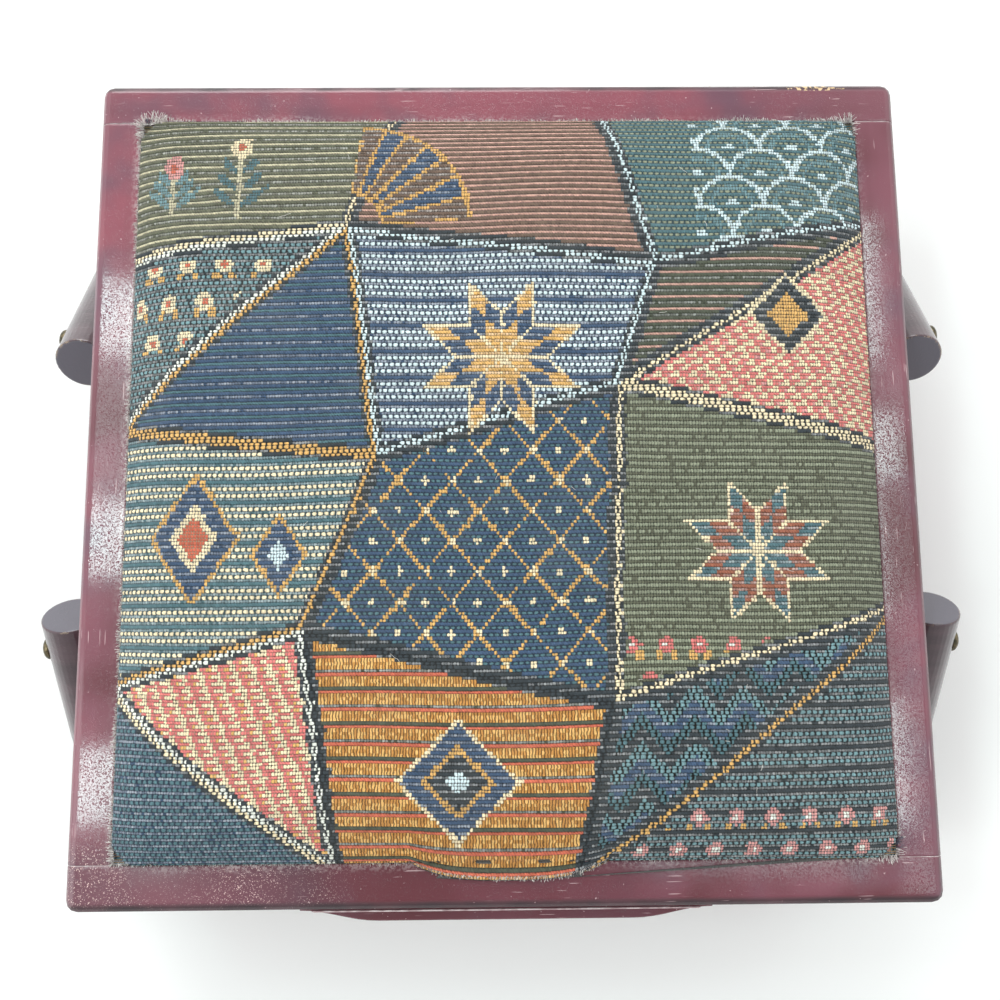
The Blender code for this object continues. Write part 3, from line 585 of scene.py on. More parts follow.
BEECH_LIGHT = paint(222, 190, 150)
BEECH_DARK = paint(192, 152, 108)
dress(("tray_base", "tray_front", "tray_back"),
      bare_wood("beech_across", BEECH_LIGHT, BEECH_DARK, 0, 120.0))
dress(("tray_end_left", "tray_end_right", "tray_divider_left", "tray_divider_right",
       "tray_runner_left", "tray_runner_right"),
      bare_wood("beech_along", BEECH_LIGHT, BEECH_DARK, 90, 120.0))
dress(("bottom_panel", "lid_board"),
      bare_wood("plywood", paint(205, 172, 130), paint(172, 134, 92), 0, 60.0))
print("bare wooden parts: 11")

# %% [markdown]
# ## Metals
# The bolts are brown bronze that has gone a little green, the nuts and hinge pins are plain
# steel or brass, and the hinges are yellow brass dulled by handling. All are the same recipe: a
# metal whose colour and gloss vary in clouds, darker where dirt collects and brighter on edges.


# %% Metals
def metal(name, bright, dull, roughness, fineness):
    """A handled metal surface."""
    material, tree, shader = new_material(name, metallic=1.0)
    along = object_coordinates(tree)
    cloud = noise_at(along, fineness, 5.0, 0.6)
    wear = use_group(wear_group, along, Width=0.4 * MM, Fineness=500.0, Amount=0.5)
    colour = mix(wear["Edge"] * 0.6, mix(ramp(cloud, 0.38, 0.62), bright, dull), bright)
    fill(shader, {"Base Color": colour,
                  "Roughness": ramp(cloud, 0.3, 0.7, roughness, roughness + 0.18),
                  "Normal": soft_edges(0.3 * MM, noise_at(along, fineness * 9), 0.02 * MM)})
    return material


bronze = metal("bronze", paint(120, 108, 84), paint(74, 72, 60), 0.32, 500.0)
brass = metal("brass", paint(206, 172, 104), paint(158, 126, 72), 0.26, 260.0)
steel = metal("steel", paint(196, 196, 200), paint(140, 140, 146), 0.28, 400.0)
dress([name for name in nodes if name.startswith("hinge_") and "screw" not in name], brass)
print("metals:", bronze.name, brass.name, steel.name)

# %% [markdown]
# ## Fasteners with Geometry Nodes
# Eight bolts, eight nuts and eight screws repeat three shapes. Each shape is made once as a
# small mesh that points along +X. A Geometry Nodes tree then puts a copy on each point of a
# mesh, turns it to face its way with its own random twist, joins the copies and gives them a
# material. One tree serves all three, because the shape, the seed and the material are inputs.


# %% Turned shapes
def finished_mesh(name, shape):
    """A plain mesh from a closed shape, with its faces turned outwards."""
    bmesh.ops.recalc_face_normals(shape, faces=shape.faces)
    made = bpy.data.meshes.new(name)
    shape.to_mesh(made)
    shape.free()
    return made


def circle(count, radius=1.0):
    """Points of a circle as (cosine, sine) pairs of a radius."""
    angles = [2 * math.pi * k / count for k in range(count)]
    return [(radius * math.cos(a), radius * math.sin(a)) for a in angles]


def turned_mesh(name, profile, sides):
    """A closed solid of revolution about X from (x, radius) points. The end radii are 0."""
    shape = bmesh.new()
    rings = [[shape.verts.new((x, y, z)) for y, z in circle(sides, radius)] if radius
             else [shape.verts.new((x, 0, 0))] for x, radius in profile]
    for near, far in zip(rings, rings[1:]):
        for k in range(sides):
            corners = [near[k % len(near)], near[(k + 1) % len(near)],
                       far[(k + 1) % len(far)], far[k % len(far)]]
            shape.faces.new(list(dict.fromkeys(corners))).smooth = True
    return finished_mesh(name, shape)


def dome_profile(base, radius, rise, steps):
    """Points of a domed head from its rim at x = base out to its crown."""
    angles = [math.pi / 2 * k / steps for k in range(steps)]
    return [(base + rise * math.sin(a), radius * math.cos(a)) for a in angles] + [
        (base + rise, 0.0)]


def plain_mesh(name, source):
    """What the modifiers make of an object, as a new object with a mesh of its own."""
    evaluated = source.evaluated_get(bpy.context.evaluated_depsgraph_get())
    made = linked(name, bpy.data.meshes.new_from_object(evaluated))
    made.data.name = name
    return made


def remove(*objects):
    """Takes helper objects out of the file."""
    for item in objects:
        bpy.data.objects.remove(item)


# %% One tree that sets fasteners on points
def geometry_group(name, inputs):
    """A Geometry Nodes tree with points and other values going in, and a mesh coming out."""
    rows = [(socket_name, kind, None) for socket_name, kind in inputs]
    return new_group(name, "GeometryNodeTree", [("Points", "Geometry", None)] + rows,
                     [("Geometry", "Geometry")])


def stored(tree, name, kind):
    """A value that each point carries."""
    return wire(tree, "GeometryNodeInputNamedAttribute", {"Name": name}, "Attribute",
                data_type=kind)


def aimed_at(vector):
    """The rotation that turns +X to a direction."""
    return wire(vector.tree, "FunctionNodeAlignRotationToVector", {"Vector": vector}, "Rotation",
                axis="X")


def finish_tree(out, geometry, material):
    """Joins the copies, gives them a material and ends the tree."""
    tree = geometry.tree
    solid = wire(tree, "GeometryNodeRealizeInstances", {0: geometry})
    coated = wire(tree, "GeometryNodeSetMaterial", {"Geometry": solid, "Material": material})
    fill(out, {"Geometry": coated})


fastener_tree, given, out = geometry_group(
    "fasteners", [("Fastener", "Object"), ("Twist", "Float"), ("Seed", "Int"),
                  ("Material", "Material")])
tree = fastener_tree
shape = wire(tree, "GeometryNodeObjectInfo", {"Object": given["Fastener"]}, "Geometry")
spin = wire(tree, "FunctionNodeRandomValue",
            {2: given["Twist"] * -1.0, 3: given["Twist"], "Seed": given["Seed"]}, 1,
            data_type="FLOAT")
twist = wire(tree, "FunctionNodeAxisAngleToRotation",
             {"Axis": (1.0, 0.0, 0.0), "Angle": spin}, "Rotation")
turning = wire(tree, "FunctionNodeRotateRotation",
               {"Rotation": aimed_at(stored(tree, "facing", "FLOAT_VECTOR")),
                "Rotate By": twist}, "Rotation", rotation_space="LOCAL")
copies = wire(tree, "GeometryNodeInstanceOnPoints",
              {"Points": given["Points"], "Instance": shape, "Rotation": turning})
finish_tree(out, copies, given["Material"])


def grown(name, group, places, attributes, values):
    """Lays points in a mesh, lets a tree grow from them and gives the result as a plain mesh."""
    mesh = bpy.data.meshes.new(name + "_points")
    mesh.from_pydata(places, [], [])
    for key, rows in attributes.items():
        kind, field = ("FLOAT_VECTOR", "vector") if len(np.shape(rows)) > 1 else ("FLOAT", "value")
        mesh.attributes.new(key, kind, "POINT").data.foreach_set(field, np.array(rows).ravel())
    source = linked(name + "_points", mesh)
    modifier = source.modifiers.new("growth", "NODES")
    modifier.node_group = group
    for item in group.interface.items_tree:
        if item.in_out == "INPUT" and item.name in values:
            modifier[item.identifier] = values[item.name]
    made = plain_mesh(name, source)
    remove(source)
    print(name, len(places), "copies,", len(made.data.polygons), "faces")
    return made


def fasteners(name, shape, replaced, facing, seed, material, body):
    """Puts one fastener at each replaced node, where that node's own head ends."""
    places = []
    for node in replaced:
        low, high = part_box(node)
        places.append((low + high) / 2 + facing(node) * abs(facing(node).dot(high - low)) / 2)
    pattern = linked(name + "_shape", shape)
    made = grown(name, fastener_tree, places, {"facing": [facing(node) for node in replaced]},
                 {"Fastener": pattern, "Twist": math.pi, "Seed": seed, "Material": material})
    remove(pattern)
    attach(made, body)
    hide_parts(*replaced)


def sideways(node):
    """Out from the box: to the left or to the right."""
    return Vector((-1 if "_left" in node else 1, 0, 0))


# %% [markdown]
# ## Bolts and nuts
# Two bolts go through each leg and the wall beside it, with a smooth domed head outside and a
# hexagon nut sunk into the inner face of the wall. The head is turned from a
# profile; the nut is a hexagon whose corners are turned off, with a hole through it.

# %% Bolts
DOME = 2.6 * MM
RIM = 0.7 * MM
RIM_ROUND = 0.15 * MM
SHANK = 2.5 * MM
POINT = 0.5 * MM
bolt_nodes = [name for name in nodes if name.startswith("leg_bolt_")]
low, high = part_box(bolt_nodes[0])
head_radius = (high.z - low.z) / 2
bolt_length = high.x - low.x
profile = [(-bolt_length, 0.0), (-bolt_length, SHANK - POINT), (-bolt_length + POINT, SHANK),
           (-DOME - RIM, SHANK), (-DOME - RIM, head_radius - RIM_ROUND),
           (-DOME - RIM + RIM_ROUND, head_radius)]
profile += dome_profile(-DOME, head_radius, DOME, 10)
fasteners("bolts", turned_mesh("bolt", profile, 40), bolt_nodes, sideways, 3, bronze, "box")

# %% Nuts
NUT_SIDES = 24
NUT_CHAMFER = 0.5 * MM
NUT_WIDTH = 8.0 * MM
NUT_BORE = SHANK + 0.05 * MM


def nut_mesh(across_flats, thick, bore):
    """A hexagon nut along X with its tip at 0: corners turned off, and a hole."""
    shape = bmesh.new()
    apothem = across_flats / 2
    corner = apothem / math.cos(math.pi / 6)
    rings = []
    for x, cut in ((0.0, NUT_CHAMFER), (-NUT_CHAMFER, 0.0), (-thick + NUT_CHAMFER, 0.0),
                   (-thick, NUT_CHAMFER)):
        ring = []
        for k, (cosine, sine) in enumerate(circle(NUT_SIDES)):
            angle = 2 * math.pi * k / NUT_SIDES
            from_flat = (angle + math.pi / 6) % (math.pi / 3) - math.pi / 6
            radius = min(apothem / math.cos(from_flat), corner - cut)
            ring.append(shape.verts.new((x, radius * cosine, radius * sine)))
        rings.append(ring)
    rings += [[shape.verts.new((x, y, z)) for y, z in circle(NUT_SIDES, bore)]
              for x in (-thick, 0.0)] + [rings[0]]
    for near, far in zip(rings, rings[1:]):
        for k in range(NUT_SIDES):
            after = (k + 1) % NUT_SIDES
            shape.faces.new((near[k], near[after], far[after], far[k]))
    return finished_mesh("nut", shape)


nut_nodes = [name for name in nodes if name.startswith("leg_nut_")]
low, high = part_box(nut_nodes[0])
fasteners("nuts", nut_mesh(NUT_WIDTH, high.x - low.x, NUT_BORE), nut_nodes,
          lambda node: -sideways(node), 5, steel, "box")

# %% [markdown]
# ## Hinge screws
# The hinges are held by small round-headed brass screws, driven by hand, so no two slots line
# up. The slot is cut with a Boolean once, before the copies are made.

# %% Hinge screws
SCREW_HEAD = 1.8 * MM
SCREW_DOME = 0.9 * MM
SCREW_CORE = 1.1 * MM
SCREW_TIP = 2.0 * MM
SCREW_ROUND = 0.1 * MM
SLOT_DEEP = 0.7 * MM
SLOT_WIDE = 0.6 * MM
screw_nodes = [name for name in nodes if "_screw_" in name]
low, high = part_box(screw_nodes[0])
screw_length = high.y - low.y
profile = [(-screw_length, 0.0), (-screw_length + SCREW_TIP, SCREW_CORE),
           (-SCREW_DOME, SCREW_CORE), (-SCREW_DOME, SCREW_HEAD - SCREW_ROUND),
           (-SCREW_DOME + SCREW_ROUND, SCREW_HEAD)]
profile += dome_profile(-SCREW_DOME + SCREW_ROUND, SCREW_HEAD, SCREW_DOME - SCREW_ROUND, 7)[1:]
blank = linked("blank", turned_mesh("blank", profile, 32))
slot_shape = bmesh.new()
bmesh.ops.create_cube(slot_shape, size=1.0)
bmesh.ops.scale(slot_shape, vec=(2 * SLOT_DEEP, SLOT_WIDE, 4 * SCREW_HEAD),
                verts=slot_shape.verts)
slot_tool = linked("slot", finished_mesh("slot", slot_shape))
cut = blank.modifiers.new("slot", "BOOLEAN")
cut.operation = "DIFFERENCE"
cut.solver = "EXACT"
cut.object = slot_tool
screw = plain_mesh("screw", blank)
screw_mesh = screw.data
remove(blank, slot_tool, screw)
for body in ("box", "lid"):
    fasteners("hinge_screws_" + body, screw_mesh.copy(),
              [name for name in screw_nodes if "_" + body + "_" in name],
              lambda node: Vector((0, 1, 0)), 11, brass, body)

# %% [markdown]
# ## Glue in the joints, with painted highlights
# The frame was glued before it was lacquered. Each of its four joints is filled by a thin line
# of glue, coloured pale as a painted glint along the joint, and a thin pale strip in the corner
# between the lid and its lip is a painted highlight along the rail's lower front edge.

# %% Glue in the joints, with painted highlights
GLUE_SLACK = 0.02 * MM
GLUE_EDGE = 0.1 * MM
JOINT_GAP = 0.3 * MM
ARC = 3.3 * MM
ARC_STEPS = 7
LIP_BEAD = 0.3 * MM
LIP_END = 4.0 * MM
LIP_BACK = 0.85 * MM
stile_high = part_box("lid_right_stile")[1]
rail_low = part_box("lid_back_rail")[0]
joint_sides = (stile_high.y + GLUE_SLACK, stile_high.y + JOINT_GAP - GLUE_SLACK)
inner, outer = stile_high.y + 2 * JOINT_GAP, stile_high.x - GLUE_EDGE
top = stile_high.z - GLUE_EDGE
outline = [(inner, rail_low.z + JOINT_GAP), (outer - MM, rail_low.z + JOINT_GAP),
           (outer, rail_low.z + 1.5 * MM)]
for k in range(ARC_STEPS):
    angle = math.pi / 12 * k
    outline.append((outer - ARC * (1 - math.cos(angle)), top - ARC * (1 - math.sin(angle))))
outline.append((inner, top))
glue_shape = bmesh.new()
for x_sign, y_sign in ((-1, -1), (1, -1), (1, 1), (-1, 1)):
    near, far = ([glue_shape.verts.new((x_sign * x, y_sign * y, z)) for x, z in outline]
                 for y in joint_sides)
    glue_shape.faces.new(near)
    glue_shape.faces.new(far)
    for k in range(len(outline)):
        glue_shape.faces.new((near[k - 1], near[k], far[k], far[k - 1]))
joint_glue = finished_mesh("joint_glue", glue_shape)

lip_low, lip_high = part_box("thumb_lip")
lip_ends = (lip_low.x + LIP_END, lip_high.x - LIP_END)
lip_glue = turned_mesh("lip_glue", [(lip_ends[0], 0.0), (lip_ends[0] + MM, LIP_BEAD),
                                    (lip_ends[1] - MM, LIP_BEAD), (lip_ends[1], 0.0)], 10)
lip_glue.transform(Matrix.Translation((0.0, lip_high.y - LIP_BACK,
                                       lip_high.z + LIP_BEAD + GLUE_SLACK)))
# The glue's pale colour is a painted glint, and on the lip strip a painted highlight.
glue, tree, shader = new_material("glue", roughness=0.4, coat_weight=0.6, coat_roughness=0.2)
smears = ramp(noise_at(object_coordinates(tree), 260.0, 3.0), 0.35, 0.65)
fill(shader, {"Base Color": mix(smears, paint(176, 146, 150), paint(226, 212, 212))})
for mesh in (joint_glue, lip_glue):
    mesh.materials.append(glue)
    piece = linked(mesh.name, mesh)
    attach(piece, "lid")
print("glue:", len(joint_glue.polygons) + len(lip_glue.polygons), "faces")

# %% [markdown]
# ## Felt in the bottom
# A sheet of wine-coloured wool felt lies on the bottom panel. Felt has no weave: it is a mat of
# short fibres, so its surface is a fine cloud with a soft sheen. The sheet is a grid that rises
# and falls by a few tenths of a millimetre, with thickness added by Solidify.


# %% Cloth finishes
def bumped(height, distance, strength=1.0):
    """The surface normal with a small relief on it."""
    return wire(height.tree, "ShaderNodeBump",
                {"Height": height, "Distance": distance, "Strength": strength})


def cloth_material(name, light, dark, fineness, sheen, threads):
    """A plain cloth: woven when threads is above 0, matted fibres when it is 0."""
    material, tree, shader = new_material(name, roughness=0.95, sheen_weight=sheen,
                                          sheen_roughness=0.45)
    place = object_coordinates(tree)
    fibres = noise_at(place, fineness, 6.0, 0.7)
    cloud = ramp(noise_at(place, 25.0, 3.0), 0.4, 0.8)
    colour = mix(cloud * 0.25, mix(ramp(fibres, 0.35, 0.65), dark, light), light)
    height = fibres
    if threads:
        waves = [wire(tree, "ShaderNodeTexWave", {"Vector": place, "Scale": threads}, 1,
                      wave_type="BANDS", bands_direction=axis) for axis in "XY"]
        cross = waves[0] * waves[1]
        colour = mix(ramp(cross, 0.0, 0.35), dark, colour)
        height = cross + fibres * 0.4
    fill(shader, {"Base Color": colour, "Normal": bumped(height, 0.25 * MM)})
    return material


def grid_faces(wide, tall):
    """The faces of a grid of points with this many points along X and along Y."""
    return [(j * wide + i, j * wide + i + 1, (j + 1) * wide + i + 1, (j + 1) * wide + i)
            for j in range(tall - 1) for i in range(wide - 1)]


# %% Felt sheet
FELT_RIPPLE = 0.10 * MM
FELT_THICK = 1.1 * MM
FELT_CELLS = 70
FELT_WAVES = 6
felt_low, felt_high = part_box("bottom_lining")
felt_half = felt_high.x
shares = np.linspace(-1, 1, FELT_CELLS + 1)
felt_mesh = bpy.data.meshes.new("felt_grid")
felt_mesh.from_pydata(
    [(x * felt_half, y * felt_half,
      felt_low.z + FELT_RIPPLE * (1 + noise.noise(Vector((x * FELT_WAVES, y * FELT_WAVES, 0.3)))))
     for y in shares for x in shares], [], grid_faces(FELT_CELLS + 1, FELT_CELLS + 1))
felt_mesh.shade_smooth()
felt_grid = linked("felt_grid", felt_mesh)
thickness = felt_grid.modifiers.new("thickness", "SOLIDIFY")
thickness.thickness = FELT_THICK
thickness.offset = 1.0
felt = plain_mesh("felt_lining", felt_grid)
remove(felt_grid)
felt.data.materials.append(cloth_material("wine_felt", paint(128, 40, 56), paint(84, 22, 36),
                                          2600.0, 0.35, 0))
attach(felt, "box")
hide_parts("bottom_lining")
print("felt is", round(2 * felt_half / MM), "mm square")

# %% [markdown]
# ## Pads that swell
# The lid holds two soft parts: the thick foam pad under the tapestry, and a thin cloth-covered
# panel on the underside. A block of foam that is pressed in by tight cloth is not a neat solid:
# it swells where it is free and is held at its edges. Blender's Cloth does that. A copy of the
# CAD solid is remeshed with small voxels, its glued side is pinned, and a little pressure swells
# it for twenty frames. No point may move more than a set distance, so it stays in its space.

# %% Swelling a pad
FRAMES = 20
PRESSURE = 4.0


def remeshed_copy(node, name, voxel):
    """A copy of a CAD solid as one even skin of small quads."""
    shape = bmesh.new()
    shape.from_mesh(nodes[node].data)
    bmesh.ops.remove_doubles(shape, verts=shape.verts, dist=0.01 * MM)
    mesh = bpy.data.meshes.new(name)
    shape.to_mesh(mesh)
    shape.free()
    rough = linked(name + "_rough", mesh)
    remesh = rough.modifiers.new("remesh", "REMESH")
    remesh.mode = "VOXEL"
    remesh.voxel_size = voxel
    made = plain_mesh(name, rough)
    remove(rough)
    return made


def swell(pad, is_glued, limit):
    """Runs the cloth simulation on a pad and keeps its result in the mesh."""
    start = np.array([vertex.co for vertex in pad.data.vertices])
    group = pad.vertex_groups.new(name="glued")
    group.add([k for k, point in enumerate(start) if is_glued(point)], 1.0, "REPLACE")
    modifier = pad.modifiers.new("cloth", "CLOTH")
    cloth = modifier.settings
    cloth.use_pressure = True
    cloth.uniform_pressure_force = PRESSURE
    cloth.effector_weights.gravity = 0.0
    cloth.vertex_group_mass = "glued"
    cloth.quality = 6
    modifier.point_cache.frame_end = FRAMES
    for number in range(1, FRAMES + 1):
        bpy.context.scene.frame_set(number)
    evaluated = pad.evaluated_get(bpy.context.evaluated_depsgraph_get())
    moved = np.array([vertex.co for vertex in evaluated.data.vertices]) - start
    length = np.linalg.norm(moved, axis=1, keepdims=True)
    moved *= np.minimum(1.0, limit / np.maximum(length, 1e-9))
    pad.modifiers.remove(modifier)
    bpy.context.scene.frame_set(1)
    pad.data.vertices.foreach_set("co", (start + moved).ravel())
    print(pad.name, "swelled by up to", round(float(length.max()) / MM, 2), "mm")


def subdivided(pad, name):
    """The pad with one smooth subdivision, as a plain mesh."""
    modifier = pad.modifiers.new("smooth", "SUBSURF")
    modifier.levels = modifier.render_levels = 1
    made = plain_mesh(name, pad)
    remove(pad)
    made.data.shade_smooth()
    return made


# %% Foam under the tapestry
FOAM_SWELL = 1.2 * MM
FOAM_VOXEL = 5.0 * MM
foam_low, foam_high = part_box("lid_foam")
foam_rough = remeshed_copy("lid_foam", "foam_rough", FOAM_VOXEL)
swell(foam_rough, lambda point: point[2] < foam_low.z + FOAM_VOXEL / 2, FOAM_SWELL)
foam = subdivided(foam_rough, "foam_form")
print("foam form:", len(foam.data.polygons), "faces")

# %% [markdown]
# ## The woven cloth, laid on the foam
# The tapestry is measured before it is made. Rays from above find the height of the swollen
# foam along a middle line, and the length of that line gives the length of cloth, so stitches
# keep their size where the cloth turns down at the edge. The cloth has one column of faces for
# each stitch, and its rows go in pairs, as the weave does: a thick round rib and a thin flat one.

# %% Measuring the cloth
STITCH = 1.02 * MM
PAIR = 2.36 * MM
RIB_SHARE = 0.58
CORNER = 1.0 * MM
SAMPLES = 1600
EDGE_SLACK = 0.05 * MM
cover_low, cover_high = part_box("tapestry_cover")
HALF = cover_high.x

points = np.array([vertex.co for vertex in foam.data.vertices])
spread = HALF / np.abs(points[:, :2]).max()
form_points = points * (spread, spread, 1.0) + (0.0, 0.0, cover_high.z - foam_high.z)
form_points[:, 2] += min(0.0, cover_high.z - form_points[:, 2].max())
form = BVHTree.FromPolygons([tuple(point) for point in form_points],
                            [tuple(face.vertices) for face in foam.data.polygons])
remove(foam)


def height_of_form(x, y):
    """The height of the pad at a place seen from above."""
    inside = HALF - EDGE_SLACK
    x, y = (max(-inside, min(inside, value)) for value in (x, y))
    hit = form.ray_cast(Vector((x, y, 1.0)), Vector((0, 0, -1)))
    return hit[0].z if hit[0] else cover_low.z


section_x = np.linspace(-HALF, HALF, SAMPLES)
section_z = [height_of_form(x, 0.0) for x in section_x]
section_x = np.concatenate(([-HALF], section_x, [HALF]))
section_z = np.concatenate(([cover_low.z], section_z, [cover_low.z]))
section_steps = np.hypot(np.diff(section_x), np.diff(section_z))
section_run = np.concatenate(([0.0], np.cumsum(section_steps)))
cloth_length = float(section_run[-1])
COLUMNS = round(cloth_length / STITCH)
PAIRS = round(cloth_length / PAIR)
ROWS = 2 * PAIRS
print("cloth:", round(cloth_length / MM), "mm,", COLUMNS, "stitches by", ROWS, "rows")

# %% [markdown]
# ## The design
# The real cloth is a jacquard weave in teal, navy, olive, brick pink, gold and brown. Here it
# gets a patchwork of old quilt and carpet motifs: stars, lozenges, shells, chevrons, fans and
# sprigs. The design is worked out stitch by stitch, as a weaver's chart is. Each function lays
# one way of weaving or one motif over the stitches that a mask picks. A chart keeps the yarn on
# top of each stitch and the ground that shows round it, which is painted shade: a darkened copy
# of the yarn under a bead, or of the stitch's own yarn. Places and sizes are in millimetres of
# cloth from its front left corner. Last, the yarn is made uneven: the warp shows pale through
# the thin rows, some stitches stray, and each stitch and row has its own shade.

# %% The chart
SIZE = 285.0
ROOM_BRIGHTNESS = 1.12
GROUND_SHADE = 0.34
SHADE_UNDER_BEAD = 0.62
KNOT = 0.5
BEAD = 1.0
column, row = np.meshgrid(np.arange(COLUMNS), np.arange(ROWS))
across = (column + 0.5) / COLUMNS * SIZE
up = (row + 0.5) / ROWS * SIZE
thick = row % 2 == 0
thin = ~thick
pair = row // 2
chart, shaded_ground = np.zeros((2, ROWS, COLUMNS, 3))
beaded, floating = np.zeros((2, ROWS, COLUMNS))
covered = np.zeros((ROWS, COLUMNS), bool)
chance = np.random.default_rng(12)
spin = chance.random((ROWS, COLUMNS))

YARN = {name: linear(*colour) / ROOM_BRIGHTNESS for name, colour in {
    "navy": (66, 88, 116), "ink": (54, 62, 68), "teal": (84, 118, 126), "sea": (118, 152, 158),
    "ice": (218, 236, 240), "white": (240, 242, 232), "cream": (250, 232, 194),
    "gold": (226, 178, 108), "amber": (206, 146, 76), "brick": (208, 108, 84),
    "rose": (228, 128, 124), "pink": (222, 160, 156), "blush": (208, 164, 150),
    "brown": (116, 96, 84), "olive": (104, 106, 88), "sage": (146, 152, 130),
    "moss": (82, 88, 74), "sand": (206, 198, 168), "rust": (164, 100, 78)}.items()}


def lay(mask, yarn, bead=0.0, float_over=0.0, line=False):
    """Puts a yarn into the chart: flat, as knots or beads, as a float, or as one long line."""
    # The ground is painted shade: a darkened copy of the yarn under a bead, or of the stitch's own
    # yarn.
    shaded_ground[mask] = chart[mask] * SHADE_UNDER_BEAD if bead else YARN[yarn] * GROUND_SHADE
    chart[mask] = YARN[yarn]
    beaded[mask] = bead
    floating[mask] = float_over
    covered[mask] = bool(bead or float_over or line)


def knots(yarn, *masks):
    """Puts small knots of one yarn on the stitches of each mask."""
    for mask in masks:
        lay(mask, yarn, bead=KNOT)


def ribbed(mask, rib, line, every=1):
    """Thick ribs with a long bright line between some of them."""
    lay(mask, rib)
    lay(mask & thin & (pair % every == 0), line, line=True)


def beads(mask, bead, under, cycle=1, skipped=0):
    """Rows of separate light beads on a dark ground, with some rows left out of each cycle."""
    lay(mask, under)
    lay(mask & thick & (pair % cycle >= skipped), bead, bead=BEAD)


def dotted(mask, dot, under):
    """Fine rows of light dots between dark ribs."""
    lay(mask, under)
    lay(mask & thin, dot, bead=BEAD)


def plain(mask, light, middle, dark):
    """Plain weave with the warp showing as fine upright dotted lines."""
    lay(mask, dark)
    knots(light, mask & thick)
    knots(middle, mask & (thin | (spin < 0.08)))


def dashes(mask, light, between, accent, slant):
    """Light dashes three stitches long with coloured warp between, stepped row by row."""
    phase = (column + pair * slant + (spin > 0.93)) % 6
    knots(light, mask)
    knots(between, mask & (phase < 2))
    knots(accent, mask & (phase == 2) & (spin > 0.35))
    lay(mask & thin & (phase < 4), between, line=True)


def floats(mask, bright, second, accent, dark):
    """Bands of long upright floats, with a coloured line and a dark rib between the bands."""
    place = row % 5
    band = place < 3
    lay(mask, dark)
    lay(mask & band, bright, float_over=1.0)
    lay(mask & band & (spin > 0.55), second, float_over=1.0)
    lay(mask & (place == 3), accent, line=True)


# %% Motifs: stars, lozenges and a trellis
def star(x, y, size, outline, inner, other):
    """An eight-pointed quilt star of rhombs, with a light line round each rhomb."""
    a = np.maximum(abs(across - x), abs(up - y))
    b = np.minimum(abs(across - x), abs(up - y))
    side = 0.707 * size
    rhomb = (b <= side) & (a - b <= size)
    lay(rhomb, inner)
    lay(rhomb & ((b > 0.35 * size) ^ (a - b > 0.5 * size)), other)
    edge = (b > side - 1.1) | (a - b > size - 1.4) | (b < 0.6) | (a - b < 0.8)
    knots(outline, rhomb & edge)


def lozenge(x, y, width, height, bands):
    """Lozenges one inside another. Bands from the outside in are (yarn, share of the size),
    in knots, or flat where a third value is 0."""
    reach = abs(across - x) / width + abs(up - y) / height
    for yarn, share, *flat in bands:
        lay(reach < share, yarn, bead=0 if flat else KNOT)


def trellis(mask, spacing, line, knot):
    """Crossing slanted lines with a knot where they meet and one between them."""
    rising = (across + up * 0.9) % spacing
    falling = (across - up * 0.9) % spacing
    middle = spacing / 2 + 0.8
    knots(line, mask & ((rising < 1.5) | (falling < 1.5)))
    knots(knot, mask & (rising < 2.8) & (falling < 2.8),
          mask & (abs(rising - middle) < 1.6) & (abs(falling - middle) < 1.6))


# %% Motifs: shells, fans and chevrons
def shells(mask, size, line, inner):
    """Overlapping round shells, as on a quilted edge."""
    tier = np.floor(up / (size / 2))
    x = (across + (tier % 2) * size / 2) % size - size / 2
    reach = np.hypot(x, up % (size / 2))
    knots(line, mask & (abs(reach - size / 2) < 0.9))
    knots(inner, mask & (abs(reach - size / 3.1) < 0.8))
    knots(line, mask & (reach < size / 9))


def fan(x, y, size, start, end, blades, outline, first, second):
    """A fan of blades round a corner: two yarns in turn, and a light rim."""
    reach = np.hypot(across - x, up - y)
    angle = np.degrees(np.arctan2(up - y, across - x))
    share = (angle - start) / (end - start) * blades
    hub = size * 0.28
    inside = (reach < size) & (reach > hub) & (angle > start) & (angle < end)
    seam = abs(share - np.round(share)) * math.radians(end - start) / blades * reach < 0.7
    lay(inside, first)
    lay(inside & (np.floor(share) % 2 == 0), second)
    knots(outline, inside & seam, inside & ((reach > size - 1.8) | (reach < hub + 1.4)))


def chevrons(mask, spacing, yarns):
    """Zigzag bands of several yarns in turn."""
    slope = abs((across % spacing) - spacing / 2)
    place = (up + slope * 1.1) // 4.7
    for number, yarn in enumerate(yarns):
        lay(mask & (place % len(yarns) == number), yarn, bead=BEAD * (number % 2))


# %% Motifs: flowers
def blossoms(mask, spacing, petals, centre, leaf):
    """Small flowers in staggered rows, each with two leaves below it."""
    tier = np.floor(up / spacing)
    x = (across + tier % 2 * spacing / 2) % spacing - spacing / 2
    y = up % spacing - spacing / 2
    reach = np.hypot(x, y - 1.0)
    knots(leaf, mask & (abs(abs(x) - spacing * 0.22) < 1.2) & (abs(y + spacing * 0.22) < 1.4))
    knots(petals, mask & (reach < spacing * 0.24))
    knots(centre, mask & (reach < spacing * 0.09))


def sprig(x, y, height, stem, leaf, tip):
    """An upright stem with pairs of slanted leaves and a bud at its top."""
    knots(stem, (abs(across - x) < 0.9) & (up > y) & (up < y + height))
    for number in range(3):
        base = y + height * (0.16 + 0.24 * number)
        for side in (-1, 1):
            out_by = (across - x) * side
            rise = up - base - out_by * 0.75
            leafy = (out_by > 1.2) & (out_by < 11 - 2.4 * number)
            knots(leaf, leafy & (abs(rise) < 2.3 - abs(out_by - 5.5) * 0.3))
    bud = np.hypot(across - x, (up - y - height) * 0.8)
    knots(tip, bud < 4.0)
    knots("brick", bud < 1.5)


# %% The patches
SEAM = 3.0
OUTLINE = 1.7


